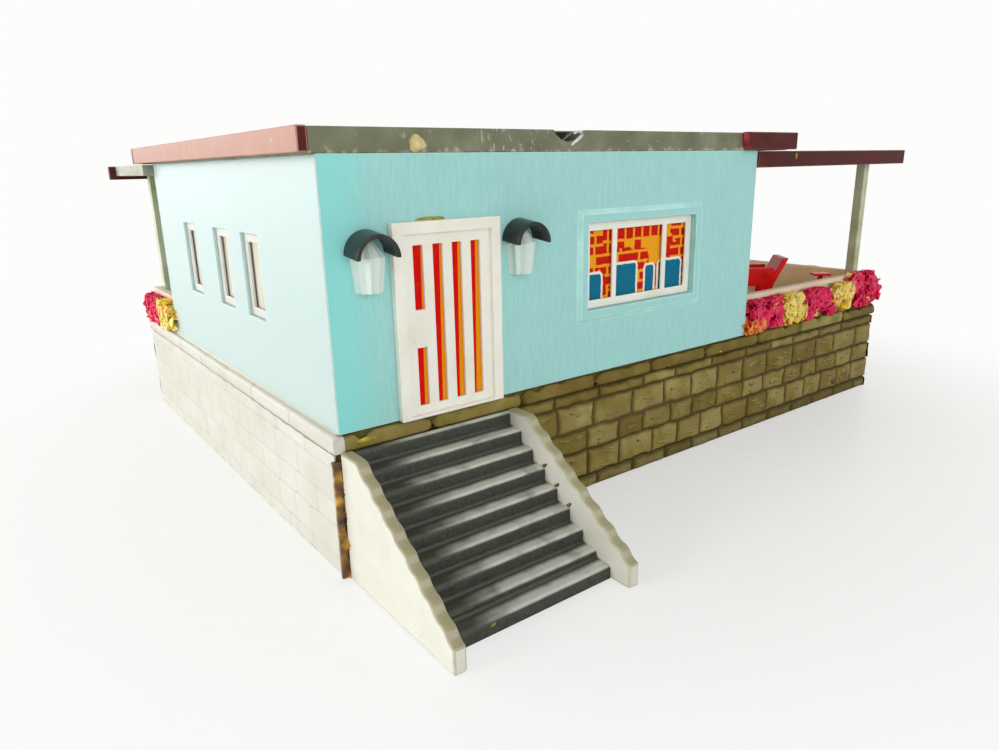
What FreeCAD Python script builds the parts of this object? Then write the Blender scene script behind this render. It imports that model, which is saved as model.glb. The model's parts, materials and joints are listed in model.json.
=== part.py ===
import FreeCAD, Part
import math
import os

# Model railway bungalow: a glued plastic kit of about 1:87 with a covered terrace, on a block-faced base.
# Millimetres. X runs right along the front, Y runs back and Z up. While the pieces are made, X 0 and Y 0
# are the front left corner of the house and Z 0 is the table. The finished pieces are moved together so
# that the origin is under the middle of the whole model.

# House shell
house_width = 82.4
house_depth = 77.2
wall_height = 33.25
wall_thickness = 1.6

# Base: a slab on four plinth plates, open below
slab_thickness = 2.7
left_ledge = 1.1
front_ledge = 0.3
terrace_width = 49.3
terrace_depth = 21.4
coping_overhang = 0.3
coping_length = 14.5
coping_joint_width = 0.7
coping_joint_depth = 0.4
plinth_thickness = 1.8
foot_height = 2.2
low_course_height = 4.5
low_block_length = 6.8
middle_course_height = 3.65
middle_block_length = 6.9
upper_course_height = 4.5
upper_block_length = 8.4
flat_course_height = 1.95
flat_stone_length = 9.2
block_relief = 0.4
block_draft = 0.15
mortar_width = 0.45
shortest_block = 1.5

# Stair flight with a wavy cheek on each side
stair_inset = 0.95
stair_width = 24.4
step_count = 9
step_going = 2.56
top_tread = 0.65
top_tread_drop = 2.3
bottom_step_height = 1.9
bottom_step_rise = 1.1
nosing_radius = 0.6
crease_radius = 0.4
soffit_depth = 3.4
toe_thickness = 1.5
cheek_thickness = 1.65
cheek_drop = 2.1
cheek_shoulder = 3.9
cheek_reach = 24.4
cheek_toe_height = 3.2
cheek_waves = 8
cheek_wave_height = 0.16

# Door: one moulding, a flange on the wall and a slatted leaf set into the opening
door_centre = 16.6
door_width = 16.2
door_height = 25.2
door_band = 1.5
door_proud = 1.1
leaf_recess = 0.6
leaf_thickness = 0.5
plug_depth = 0.7
plug_rim = 0.6
threshold = 0.4
slit_count = 4
slit_width = 1.45
slit_pitch = 2.9
slit_foot = 1.5
slit_length = 20.8
lock_plate_foot = 9.3
lock_plate_height = 4.9
lock_plate_lap = 0.35
lock_plate_proud = 0.15

# Windows: a frame set into the opening, with a clear sheet and a printed sheet behind it
window_centre = 53.7
window_sill = 10.1
window_width = 24.6
window_height = 13.1
window_side_light = 4.8
window_border = 1.3
window_bar = 0.95
surround_band = 1.8
surround_bevel = 0.5
surround_proud = 0.5
frame_recess = 0.6
frame_depth = 0.4
frame_fit = 0.05
side_window_places = {"near": 25.6, "middle": 39.2, "far": 56.7}
side_window_sill = 10.8
side_window_width = 7.4
side_window_height = 12.2
back_window_centre = 38.0
terrace_door_centre = 30.0
terrace_door_width = 20.0
terrace_door_height = 23.4
pane_thickness = 0.25
curtain_thickness = 0.3

# Wall lamps: an arched hood over a clear tapered glass, one each side of the door
left_lamp_gap = 0.2
right_lamp_gap = 1.0
hood_radius = 2.9
hood_thickness = 0.55
hood_length = 3.5
hood_drop = 0.4
hood_below_door_top = 0.5
glass_width = 4.4
glass_depth = 2.5
glass_length = 4.6
glass_foot_ratio = 0.78  # of its width and depth
glass_flutes = 5
glass_groove_ratio = 0.86  # of its reach, between two flutes
glass_clearance = 0.35

# Main roof: a loose plate with ribs that drop inside the walls, and fascia strips on its edges
roof_thickness = 2.9
roof_left_overhang = 0.6
roof_right_overhang = 8.7
roof_back_overhang = 6.7
roof_rib_height = 2.0
roof_rib_thickness = 1.2
roof_fit = 0.3
fascia_thickness = 1.3
roof_fascia_height = 2.9
roof_fascia_rise = 0.1
front_strip_length = 14.9
front_strip_break = 0.7
chip_place = 35.1
chip_width = 5.9
chip_depth = 1.6
chip_reach = 2.6
chip_outline_ratios = [(0, 0), (0.06, 0.4), (0.24, 0.85), (0.44, 1), (0.64, 0.86), (1, 0)]  # width, depth

# Terrace roof: two lower plates on posts, against the right and the back wall
terrace_roof_thickness = 2.0
terrace_roof_step = 0.2
terrace_roof_setback = 1.0
terrace_roof_left_overhang = 0.8
terrace_roof_right_overhang = 2.9
terrace_roof_back_overhang = 5.6
terrace_fascia_height = 2.8
terrace_fascia_rise = 0.05
post_width = 1.9
post_inset = 3.5

# Parapet round the terrace, with flower clumps on the ledge outside it
flower_ledge = 2.0
parapet_thickness = 1.0
parapet_height = 7.1
rail_width = 1.5
rail_height = 1.0
wide_clump_length = 12.0
narrow_clump_length = 7.5
clump_gap = 0.5
clump_clearance = 0.3
clump_depth = 2.5
clump_frills = 5
clump_hollow_ratio = 0.86  # of its reach, between two frills
clump_bulge_ratios = [(0, 0.75), (0.45, 1.0), (0.8, 0.8), (1.0, 0.35)]  # of its height and reach

# Terrace furniture, turned a little towards the front
furniture_turn = -40
chair_place = 21.9
chair_setback = 20.5
chair_length = 10.4
chair_width = 7.4
chair_panel = 0.9
arm_height = 8.4
seat_height = 4.3
seat_thickness = 0.9
leg_width = 1.9
back_height = 10.5
back_lean = 3.0
back_thickness = 1.3
table_place = 38.9
table_setback = 8.0
table_width = 3.8
table_depth = 3.0
table_height = 7.0
table_top = 0.5
table_foot_width = 2.2
table_foot_height = 0.5
table_column = 0.9

# Heights and edges that several pieces share
base_left = -left_ledge
base_right = house_width + terrace_width
base_front = -front_ledge
base_back = house_depth + terrace_depth
block_courses_height = low_course_height + middle_course_height + upper_course_height
plinth_height = foot_height + block_courses_height + flat_course_height
base_height = plinth_height + slab_thickness
wall_top = base_height + wall_height
roof_left = -roof_left_overhang
roof_right = house_width + roof_right_overhang
roof_back = house_depth + roof_back_overhang
terrace_roof_left = base_left - terrace_roof_left_overhang
terrace_roof_right = base_right + terrace_roof_right_overhang
terrace_roof_back = base_back + terrace_roof_back_overhang
terrace_roof_top = wall_top - terrace_roof_step
terrace_roof_under = terrace_roof_top - terrace_roof_thickness
terrace_fascia_top = terrace_roof_top + terrace_fascia_rise
stair_top = base_height - top_tread_drop
step_rise = (stair_top - bottom_step_height - bottom_step_rise) / (step_count - 2)
hood_springing = base_height + door_height - hood_below_door_top - hood_radius
stair_left = base_left + stair_inset
flight_left = stair_left + cheek_thickness
flight_right = flight_left + stair_width
stair_toe = base_front - cheek_reach
rail_foot = parapet_height - rail_height
rail_overhang = (rail_width - parapet_thickness) / 2

# Middle of the whole model, which becomes the origin
model_left = min(terrace_roof_left, roof_left) - fascia_thickness
model_right = max(terrace_roof_right, roof_right) + fascia_thickness
model_back = max(terrace_roof_back, roof_back) + fascia_thickness
origin = FreeCAD.Vector((model_left + model_right) / 2, (stair_toe + model_back) / 2, 0)

pieces = {}


def block(x0, x1, y0, y1, z0, z1):
    return Part.makeBox(x1 - x0, y1 - y0, z1 - z0, FreeCAD.Vector(x0, y0, z0))


def prism(points, sweep):
    outline = Part.makePolygon(points + points[:1])
    return Part.Face(outline).extrude(sweep)


# Solid through rings of corners. Matching edges of the rings are parallel, so that every side is flat.
def loft(rings):
    outlines = [rings[0], rings[-1]]
    for low, high in zip(rings, rings[1:]):
        for number in range(len(low)):
            before = number - 1
            outlines.append([low[before], low[number], high[number], high[before]])
    sides = [Part.Face(Part.makePolygon(points + points[:1])) for points in outlines]
    shell = Part.Shell(sides)
    shell.sewShape()
    solid = Part.Solid(shell)
    if solid.Volume < 0:
        solid.reverse()
    return solid


def upright_rectangle(x0, x1, z0, z1, y):
    corners = [(x0, z0), (x1, z0), (x1, z1), (x0, z1)]
    return [FreeCAD.Vector(x, y, z) for x, z in corners]


# The four sides of a rectangle. On each, x runs along the outer face, seen from outside, and y runs inward.
def sides_of(x0, x1, y0, y1):
    return {
        "front": {"corner": (x0, y0), "turn": 0, "length": x1 - x0},
        "right": {"corner": (x1, y0), "turn": 90, "length": y1 - y0},
        "back": {"corner": (x1, y1), "turn": 180, "length": x1 - x0},
        "left": {"corner": (x0, y1), "turn": 270, "length": y1 - y0},
    }


def stand_on(side, shape, z):
    placed = shape.copy()
    placed.rotate(FreeCAD.Vector(0, 0, 0), FreeCAD.Vector(0, 0, 1), side["turn"])
    placed.translate(FreeCAD.Vector(side["corner"][0], side["corner"][1], z))
    return placed


house_sides = sides_of(0, house_width, 0, house_depth)
base_sides = sides_of(base_left, base_right, base_front, base_back)
plinth_sides = sides_of(
    base_left + coping_overhang,
    base_right - coping_overhang,
    base_front + coping_overhang,
    base_back - coping_overhang,
)


# A flat plate with its ends mitred for a box corner; y 0 is the corner's outer face
def mitred_plate(length, face, thickness, height):
    inner = face + thickness
    plan = [(face, face), (length - face, face), (length - inner, inner), (inner, inner)]
    return prism([FreeCAD.Vector(x, y, 0) for x, y in plan], FreeCAD.Vector(0, 0, height))


# Base slab, with the joints between its coping stones cut into the edge
def base_slab():
    slab = block(base_left, base_right, base_front, base_back, plinth_height, base_height)
    joints = []
    for side in base_sides.values():
        stones = max(1, round(side["length"] / coping_length))
        for number in range(1, stones):
            x = side["length"] * number / stones
            notch = [
                FreeCAD.Vector(x - coping_joint_width / 2, 0, 0),
                FreeCAD.Vector(x + coping_joint_width / 2, 0, 0),
                FreeCAD.Vector(x, coping_joint_depth, 0),
            ]
            cut = prism(notch, FreeCAD.Vector(0, 0, slab_thickness))
            joints.append(stand_on(side, cut, plinth_height))
    return slab.cut(joints)


# Raised block of the plinth, drawn in towards its face
def plinth_block(x0, x1, z0, z1):
    foot = upright_rectangle(x0, x1, z0, z1, block_relief)
    face = upright_rectangle(x0 + block_draft, x1 - block_draft, z0 + block_draft, z1 - block_draft, 0)
    return loft([foot, face])


# Plinth plate: a plain foot, three courses of blocks in running bond and a course of flat stones
def plinth_plate(length):
    plate = mitred_plate(length, block_relief, plinth_thickness, plinth_height)
    first = block_relief + mortar_width / 2
    last = length - first
    blocks = [plinth_block(first, last, 0, foot_height - mortar_width / 2)]
    courses = [
        (low_course_height, low_block_length),
        (middle_course_height, middle_block_length),
        (upper_course_height, upper_block_length),
        (flat_course_height, flat_stone_length),
    ]
    floor = foot_height
    for course, (height, block_length) in enumerate(courses):
        start = -block_length / 2 if course % 2 else 0
        for number in range(math.ceil((length - start) / block_length)):
            x0 = max(start + number * block_length + mortar_width / 2, first)
            x1 = min(start + (number + 1) * block_length - mortar_width / 2, last)
            z0 = floor + mortar_width / 2
            if x1 - x0 > shortest_block:
                blocks.append(plinth_block(x0, x1, z0, z0 + height - mortar_width))
        floor += height
    return plate.multiFuse(blocks)


def add_base():
    pieces["base_slab"] = base_slab()
    for name, side in plinth_sides.items():
        pieces["plinth_" + name] = stand_on(side, plinth_plate(side["length"]), 0)


# Stair flight: treads with rounded nosings and creases over a sloping soffit
def stair_flight():
    def at(y, z):
        return FreeCAD.Vector(flight_left, y, z)

    edges = []
    here = at(base_front, stair_top)
    top_back = here
    nosing_bend = nosing_radius * math.sqrt(0.5)
    crease_bend = crease_radius * math.sqrt(0.5)
    treads = [stair_top - step * step_rise for step in range(step_count - 1)]
    treads.append(bottom_step_height)
    for step, (tread, below) in enumerate(zip(treads, treads[1:] + [0])):
        nosing = base_front - top_tread - step * step_going
        before = at(nosing + nosing_radius, tread)
        crown = at(nosing + nosing_radius - nosing_bend, tread - nosing_radius + nosing_bend)
        after = at(nosing, tread - nosing_radius)
        edges.append(Part.LineSegment(here, before).toShape())
        edges.append(Part.Arc(before, crown, after).toShape())
        here = at(nosing, below)
        if below:
            above = at(nosing, below + crease_radius)
            hollow = at(nosing - crease_radius + crease_bend, below + crease_radius - crease_bend)
            here = at(nosing - crease_radius, below)
            edges.append(Part.LineSegment(after, above).toShape())
            edges.append(Part.Arc(above, hollow, here).toShape())
        else:
            edges.append(Part.LineSegment(after, here).toShape())
    toe = at(here.y + toe_thickness, 0)
    soffit = at(base_front, top_back.z - soffit_depth)
    edges.append(Part.LineSegment(here, toe).toShape())
    edges.append(Part.LineSegment(toe, soffit).toShape())
    edges.append(Part.LineSegment(soffit, top_back).toShape())
    return Part.Face(Part.Wire(edges)).extrude(FreeCAD.Vector(stair_width, 0, 0))


# Stair cheek: an upright plate whose sloping top runs down in small waves
def stair_cheek(x):
    def at(y, z):
        return FreeCAD.Vector(x, y, z)

    top = base_height - cheek_drop
    crest = at(base_front - cheek_shoulder, top)
    toe = at(stair_toe, cheek_toe_height)
    fall = toe - crest
    outward = FreeCAD.Vector(0, fall.z, -fall.y).normalize() * cheek_wave_height
    edges = [
        Part.LineSegment(at(base_front, 0), at(base_front, top)).toShape(),
        Part.LineSegment(at(base_front, top), crest).toShape(),
    ]
    for wave in range(cheek_waves):
        first = crest + fall * (wave / cheek_waves)
        middle = crest + fall * ((wave + 0.5) / cheek_waves)
        last = crest + fall * ((wave + 1) / cheek_waves)
        edges.append(Part.Arc(first, (first + middle) * 0.5 + outward, middle).toShape())
        edges.append(Part.Arc(middle, (middle + last) * 0.5 - outward, last).toShape())
    edges.append(Part.LineSegment(toe, at(stair_toe, 0)).toShape())
    edges.append(Part.LineSegment(at(stair_toe, 0), at(base_front, 0)).toShape())
    return Part.Face(Part.Wire(edges)).extrude(FreeCAD.Vector(cheek_thickness, 0, 0))


def add_stair():
    pieces["stair_flight"] = stair_flight()
    pieces["stair_cheek_left"] = stair_cheek(stair_left)
    pieces["stair_cheek_right"] = stair_cheek(flight_right)


# Windows are made on a side of the house: x along the wall, y into it, z up from the wall's foot
def opening(centre, sill, width, height):
    left = centre - width / 2
    return block(left, left + width, -wall_thickness, 2 * wall_thickness, sill, sill + height)


def raised_surround(centre, sill, width, height):
    reach = width / 2 + surround_band
    crest = reach - surround_bevel
    lift = surround_band - surround_bevel
    top = sill + height
    foot = upright_rectangle(centre - reach, centre + reach, sill - surround_band, top + surround_band, 0)
    face = upright_rectangle(centre - crest, centre + crest, sill - lift, top + lift, -surround_proud)
    return loft([foot, face])


# Frame whose lights, from left to right, have the given widths, with bars between them
def window_frame(centre, sill, width, height, lights):
    x = centre - width / 2
    y0 = frame_recess
    y1 = frame_recess + frame_depth
    frame = block(
        x + frame_fit, x + width - frame_fit, y0, y1, sill + frame_fit, sill + height - frame_fit
    )
    x += window_border
    for light in lights:
        hole = block(x, x + light, y0, y1, sill + window_border, sill + height - window_border)
        frame = frame.cut(hole)
        x += light + window_bar
    return frame


# Clear sheet cut to the opening and glued behind the frame, and the printed sheet behind it
def window_sheets(centre, sill, width, height):
    x0 = centre - width / 2 + frame_fit
    x1 = centre + width / 2 - frame_fit
    z0 = sill + frame_fit
    z1 = sill + height - frame_fit
    front = frame_recess + frame_depth
    middle = front + pane_thickness
    pane = block(x0, x1, front, middle, z0, z1)
    curtain = block(x0, x1, middle, middle + curtain_thickness, z0, z1)
    return pane, curtain


def add_window(name, label, side, centre, sill, width, height, lights):
    pane, curtain = window_sheets(centre, sill, width, height)
    frame = window_frame(centre, sill, width, height, lights)
    pieces[name + "_frame" + label] = stand_on(side, frame, base_height)
    pieces[name + "_pane" + label] = stand_on(side, pane, base_height)
    pieces[name + "_curtain" + label] = stand_on(side, curtain, base_height)


# Edges of the door's plug in the wall opening, and of the pocket for the foil behind its leaf
def door_plug(inset):
    reach = door_width / 2 - door_band - frame_fit - inset
    return door_centre - reach, door_centre + reach, inset, door_height - door_band - frame_fit - inset


# Door moulding: flange, recessed leaf and slits, the first slit closed in the middle by the lock plate
def front_door():
    x0 = door_centre - door_width / 2
    x1 = door_centre + door_width / 2
    leaf_face = leaf_recess - door_proud
    leaf_back = leaf_face + leaf_thickness
    plug_x0, plug_x1, plug_z0, plug_z1 = door_plug(0)
    pocket_x0, pocket_x1, pocket_z0, pocket_z1 = door_plug(plug_rim)
    flange = block(x0, x1, -door_proud, 0, 0, door_height)
    plug = block(plug_x0, plug_x1, 0, plug_depth, plug_z0, plug_z1)
    recess = block(
        x0 + door_band, x1 - door_band, -door_proud, leaf_face, threshold, door_height - door_band
    )
    pocket = block(pocket_x0, pocket_x1, leaf_back, plug_depth, pocket_z0, pocket_z1)
    door = flange.fuse(plug).cut([recess, pocket])
    first = door_centre - slit_pitch * (slit_count - 1) / 2
    for number in range(slit_count):
        x = first + number * slit_pitch
        slit = block(
            x - slit_width / 2, x + slit_width / 2, leaf_face, leaf_back, slit_foot, slit_foot + slit_length
        )
        if number == 0:
            lock = block(
                x - slit_width / 2,
                x + slit_width / 2,
                leaf_face,
                leaf_back,
                lock_plate_foot,
                lock_plate_foot + lock_plate_height,
            )
            slit = slit.cut(lock)
        door = door.cut(slit)
    plate = block(
        first - slit_width / 2 - lock_plate_lap,
        first + slit_width / 2 + lock_plate_lap,
        leaf_face - lock_plate_proud,
        leaf_face,
        lock_plate_foot,
        lock_plate_foot + lock_plate_height,
    )
    return door.fuse(plate).removeSplitter()


# Striped foil in the pocket behind the leaf
def door_curtain():
    x0, x1, z0, z1 = door_plug(plug_rim + frame_fit)
    front = leaf_recess - door_proud + leaf_thickness
    return block(x0, x1, front, front + curtain_thickness, z0, z1)


def add_house():
    walls = {}
    for name, side in house_sides.items():
        walls[name] = mitred_plate(side["length"], 0, wall_thickness, wall_height)
    centre_light = window_width - 2 * (window_border + window_bar + window_side_light)
    window_lights = [window_side_light, centre_light, window_side_light]
    for name, centre in {"front": window_centre, "back": back_window_centre}.items():
        surround = raised_surround(centre, window_sill, window_width, window_height)
        hole = opening(centre, window_sill, window_width, window_height)
        walls[name] = walls[name].fuse(surround).cut(hole)
        add_window(
            name + "_window",
            "",
            house_sides[name],
            centre,
            window_sill,
            window_width,
            window_height,
            window_lights,
        )
    side_light = side_window_width - 2 * window_border
    for label, setback in side_window_places.items():
        centre = house_depth - setback
        walls["left"] = walls["left"].cut(
            opening(centre, side_window_sill, side_window_width, side_window_height)
        )
        add_window(
            "side_window",
            "_" + label,
            house_sides["left"],
            centre,
            side_window_sill,
            side_window_width,
            side_window_height,
            [side_light],
        )
    walls["right"] = walls["right"].cut(
        opening(terrace_door_centre, 0, terrace_door_width, terrace_door_height)
    )
    door_light = (terrace_door_width - 2 * window_border - window_bar) / 2
    add_window(
        "terrace_door",
        "",
        house_sides["right"],
        terrace_door_centre,
        0,
        terrace_door_width,
        terrace_door_height,
        [door_light, door_light],
    )
    walls["front"] = walls["front"].cut(
        opening(door_centre, 0, door_width - 2 * door_band, door_height - door_band)
    )
    for name, wall in walls.items():
        pieces["house_wall_" + name] = stand_on(house_sides[name], wall, base_height)
    pieces["front_door"] = stand_on(house_sides["front"], front_door(), base_height)
    pieces["door_curtain"] = stand_on(house_sides["front"], door_curtain(), base_height)


# Arched lamp hood: half a ring that slopes down a little away from the wall
def lamp_hood(x):
    inner = hood_radius - hood_thickness

    def at(radius, degrees):
        angle = math.radians(degrees)
        return FreeCAD.Vector(x + radius * math.cos(angle), 0, hood_springing + radius * math.sin(angle))

    edges = [
        Part.Arc(at(hood_radius, 0), at(hood_radius, 90), at(hood_radius, 180)).toShape(),
        Part.LineSegment(at(hood_radius, 180), at(inner, 180)).toShape(),
        Part.Arc(at(inner, 180), at(inner, 90), at(inner, 0)).toShape(),
        Part.LineSegment(at(inner, 0), at(hood_radius, 0)).toShape(),
    ]
    return Part.Face(Part.Wire(edges)).extrude(FreeCAD.Vector(0, -hood_length, -hood_drop))


# Lamp glass: a fluted half cup that widens upwards and is drawn in again under the hood's arch
def lamp_glass(x):
    neck = hood_radius - hood_thickness - hood_drop - glass_clearance

    def section(size, z):
        points = []
        for corner in range(2 * glass_flutes + 1):
            angle = math.pi * corner / (2 * glass_flutes)
            reach = size * glass_groove_ratio if corner % 2 else size
            y = -glass_depth * reach * math.sin(angle)
            points.append(FreeCAD.Vector(x + glass_width / 2 * reach * math.cos(angle), y, z))
        return points

    return loft(
        [
            section(glass_foot_ratio, hood_springing - glass_length),
            section(1, hood_springing - hood_drop),
            section(neck / glass_width, hood_springing + neck),
        ]
    )


def add_lamps():
    reach = door_width / 2 + hood_radius
    places = {"left": door_centre - reach - left_lamp_gap, "right": door_centre + reach + right_lamp_gap}
    for name, x in places.items():
        pieces["lamp_hood_" + name] = lamp_hood(x)
        pieces["lamp_glass_" + name] = lamp_glass(x)


# Main roof plate: the front edge is chipped, and ribs underneath keep it from sliding off the walls
def roof_plate():
    top = wall_top + roof_thickness
    plate = block(roof_left, roof_right, 0, roof_back, wall_top, top)
    outline = [
        FreeCAD.Vector(chip_place + chip_width * along, 0, top - chip_depth * down)
        for along, down in chip_outline_ratios
    ]
    chip = prism(outline, FreeCAD.Vector(0, chip_reach, 0))
    outer = wall_thickness + roof_fit
    inner = outer + roof_rib_thickness
    under = wall_top - roof_rib_height
    ribs = block(outer, house_width - outer, outer, house_depth - outer, under, wall_top)
    room = block(inner, house_width - inner, inner, house_depth - inner, under, wall_top)
    return plate.cut(chip).fuse(ribs.cut(room)).removeSplitter()


def add_main_roof():
    top = wall_top + roof_thickness + roof_fascia_rise
    foot = top - roof_fascia_height
    left = roof_left - fascia_thickness
    right = roof_right + fascia_thickness
    back = roof_back + fascia_thickness
    pieces["roof_plate"] = roof_plate()
    pieces["roof_fascia_left"] = block(left, roof_left, 0, roof_back, foot, top)
    pieces["roof_fascia_right"] = block(roof_right, right, 0, roof_back, foot, top)
    pieces["roof_fascia_back"] = block(left, right, roof_back, back, foot, top)
    # What is left of the front strip ends in a slanting break
    broken = right - front_strip_length
    stump = [
        FreeCAD.Vector(broken, 0, top),
        FreeCAD.Vector(broken + front_strip_break / 3, 0, (top + foot) / 2),
        FreeCAD.Vector(broken + front_strip_break, 0, foot),
        FreeCAD.Vector(right, 0, foot),
        FreeCAD.Vector(right, 0, top),
    ]
    pieces["roof_fascia_front"] = prism(stump, FreeCAD.Vector(0, -fascia_thickness, 0))


# Terrace roof: the left edge of its back plate is bare, and the back strip stands out past it
def add_terrace_roof():
    front = terrace_roof_setback
    foot = terrace_fascia_top - terrace_fascia_height
    outer_right = terrace_roof_right + fascia_thickness
    pieces["terrace_roof_side"] = block(
        house_width, terrace_roof_right, front, terrace_roof_back, terrace_roof_under, terrace_roof_top
    )
    pieces["terrace_roof_back"] = block(
        terrace_roof_left, house_width, house_depth, terrace_roof_back, terrace_roof_under, terrace_roof_top
    )
    pieces["terrace_fascia_front"] = block(
        house_width, outer_right, front - fascia_thickness, front, foot, terrace_fascia_top
    )
    pieces["terrace_fascia_right"] = block(
        terrace_roof_right, outer_right, front, terrace_roof_back, foot, terrace_fascia_top
    )
    pieces["terrace_fascia_back"] = block(
        terrace_roof_left - fascia_thickness,
        outer_right,
        terrace_roof_back,
        terrace_roof_back + fascia_thickness,
        foot,
        terrace_fascia_top,
    )
    left = base_left + post_inset
    right = base_right - post_inset - post_width
    near = base_front + post_inset
    far = base_back - post_inset - post_width
    for name, x, y in [("front_right", right, near), ("back_right", right, far), ("back_left", left, far)]:
        pieces["terrace_post_" + name] = block(
            x, x + post_width, y, y + post_width, base_height, terrace_roof_under
        )


# Low wall along a side of the base, with a wider rail on top that starts and ends by a lap before the wall
def parapet(x0, x1, start_lap, end_lap):
    outer = flower_ledge - rail_overhang
    inner = flower_ledge + parapet_thickness
    wall = block(x0, x1, flower_ledge, inner, 0, rail_foot)
    rail = block(x0 - start_lap, x1 - end_lap, outer, inner + rail_overhang, rail_foot, parapet_height)
    return wall.fuse(rail)


# Frilled flower clump at the foot of a parapet, flat against it and bulging over the ledge
def flower_clump(centre, half):
    top = rail_foot - clump_clearance
    rings = []
    for height, size in clump_bulge_ratios:
        ring = []
        for corner in range(2 * clump_frills + 1):
            angle = math.pi * corner / (2 * clump_frills)
            reach = size * clump_hollow_ratio if corner % 2 else size
            x = centre + half * reach * math.cos(angle)
            y = flower_ledge - clump_depth * reach * math.sin(angle)
            ring.append(FreeCAD.Vector(x, y, top * height))
        rings.append(ring)
    return loft(rings)


# Wide and narrow clumps in turn, stretched a little to fill the row
def flower_row(x0, x1):
    pair = [wide_clump_length, narrow_clump_length]
    count = max(1, round(2 * (x1 - x0) / sum(pair)))
    lengths = [pair[number % 2] for number in range(count)]
    stretch = (x1 - x0) / sum(lengths)
    clumps = []
    for length in lengths:
        clumps.append(flower_clump(x0 + length * stretch / 2, (length * stretch - clump_gap) / 2))
        x0 += length * stretch
    return Part.makeCompound(clumps)


# At a corner each run passes outside the next, and the front and the left run end against the house
def add_parapets():
    turn = flower_ledge + parapet_thickness
    for name, side in base_sides.items():
        x0 = house_width - base_left if name == "front" else flower_ledge
        x1 = base_back - house_depth if name == "left" else side["length"] - turn
        start_lap = 0 if name == "front" else rail_overhang
        end_lap = 0 if name == "left" else rail_overhang
        row_start = x0 if name == "front" else flower_ledge + clump_gap
        row_end = x1 if name == "left" else side["length"]
        pieces["parapet_" + name] = stand_on(side, parapet(x0, x1, start_lap, end_lap), base_height)
        pieces["flowers_" + name] = stand_on(side, flower_row(row_start, row_end), base_height)


# Furniture is made on the terrace floor at the origin, then turned and set in place
def set_on_terrace(shape, place, setback):
    placed = shape.copy()
    placed.rotate(FreeCAD.Vector(0, 0, 0), FreeCAD.Vector(0, 0, 1), furniture_turn)
    placed.translate(FreeCAD.Vector(house_width + place, setback, base_height))
    return placed


# Garden chair: two side panels with a gap between the legs, a seat between them and a leaning back
def terrace_chair():
    seat_top = seat_height + seat_thickness
    inner = chair_width - chair_panel
    sides = block(0, chair_length, 0, chair_width, 0, arm_height)
    inside = block(0, chair_length, chair_panel, inner, 0, arm_height)
    leg_gap = block(leg_width, chair_length - leg_width, 0, chair_width, 0, seat_height)
    seat = block(0, chair_length, chair_panel, inner, seat_height, seat_top)
    foot = chair_length - back_thickness
    lean = [
        FreeCAD.Vector(foot, 0, seat_height),
        FreeCAD.Vector(chair_length, 0, seat_height),
        FreeCAD.Vector(chair_length + back_lean, 0, back_height),
        FreeCAD.Vector(foot + back_lean, 0, back_height),
    ]
    back = prism(lean, FreeCAD.Vector(0, chair_width, 0))
    return sides.cut([inside, leg_gap]).fuse([seat, back]).removeSplitter()


def centred_block(width, depth, z0, z1):
    return block(-width / 2, width / 2, -depth / 2, depth / 2, z0, z1)


# Small table: a board on one column with a foot
def terrace_table():
    under = table_height - table_top
    board = centred_block(table_width, table_depth, under, table_height)
    column = centred_block(table_column, table_column, 0, under)
    foot = centred_block(table_foot_width, table_foot_width, 0, table_foot_height)
    return board.multiFuse([column, foot]).removeSplitter()


def add_furniture():
    pieces["terrace_chair"] = set_on_terrace(terrace_chair(), chair_place, chair_setback)
    pieces["terrace_table"] = set_on_terrace(terrace_table(), table_place, table_setback)


add_base()
add_stair()
add_house()
add_lamps()
add_main_roof()
add_terrace_roof()
add_parapets()
add_furniture()

os.makedirs("parts", exist_ok=True)
for node, shape in pieces.items():
    finished = shape.copy()
    finished.translate(-origin)
    finished.exportStep("parts/" + node + ".step")
print(len(pieces), "pieces, origin at", origin)
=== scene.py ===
import json
import math
import random

import bmesh
import bpy
from mathutils import Matrix, Vector, noise


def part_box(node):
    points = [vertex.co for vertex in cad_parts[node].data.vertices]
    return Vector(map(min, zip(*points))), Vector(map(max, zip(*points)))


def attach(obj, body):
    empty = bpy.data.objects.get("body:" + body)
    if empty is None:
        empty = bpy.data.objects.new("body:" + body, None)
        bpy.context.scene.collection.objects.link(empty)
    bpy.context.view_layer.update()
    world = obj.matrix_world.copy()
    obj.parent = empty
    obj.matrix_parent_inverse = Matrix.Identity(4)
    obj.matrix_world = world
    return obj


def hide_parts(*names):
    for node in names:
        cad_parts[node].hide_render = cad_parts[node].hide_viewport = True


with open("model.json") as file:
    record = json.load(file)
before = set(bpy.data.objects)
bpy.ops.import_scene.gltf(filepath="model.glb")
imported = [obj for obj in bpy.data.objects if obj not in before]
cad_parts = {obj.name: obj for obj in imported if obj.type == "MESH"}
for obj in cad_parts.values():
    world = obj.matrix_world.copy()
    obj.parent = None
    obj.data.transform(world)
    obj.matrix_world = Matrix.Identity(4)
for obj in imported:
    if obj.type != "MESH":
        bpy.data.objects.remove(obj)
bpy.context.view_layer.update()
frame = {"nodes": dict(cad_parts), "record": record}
mm = 0.001
nodeBody = {node: body for body, nodes in frame["record"]["behaviour"]["bodies"].items() for node in nodes}
nodeSlot = {row["node"]: row["material_slot"] for row in frame["record"]["subparts"]}
sideAlong = {"front": (1, 0, 0), "right": (0, 1, 0), "back": (-1, 0, 0), "left": (0, -1, 0)}
print("frame loaded with", len(frame["nodes"]), "nodes")


# Small tools

def linear(hexText):  # sRGB hex to a linear colour
    channels = [int(hexText[start:start + 2], 16) / 255 for start in (1, 3, 5)]
    return [c / 12.92 if c <= 0.04045 else ((c + 0.055) / 1.055) ** 2.4 for c in channels] + [1.0]


def perMm(size):  # texture scale that makes one feature about this many millimetres wide
    return 1 / (size * mm)


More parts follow.
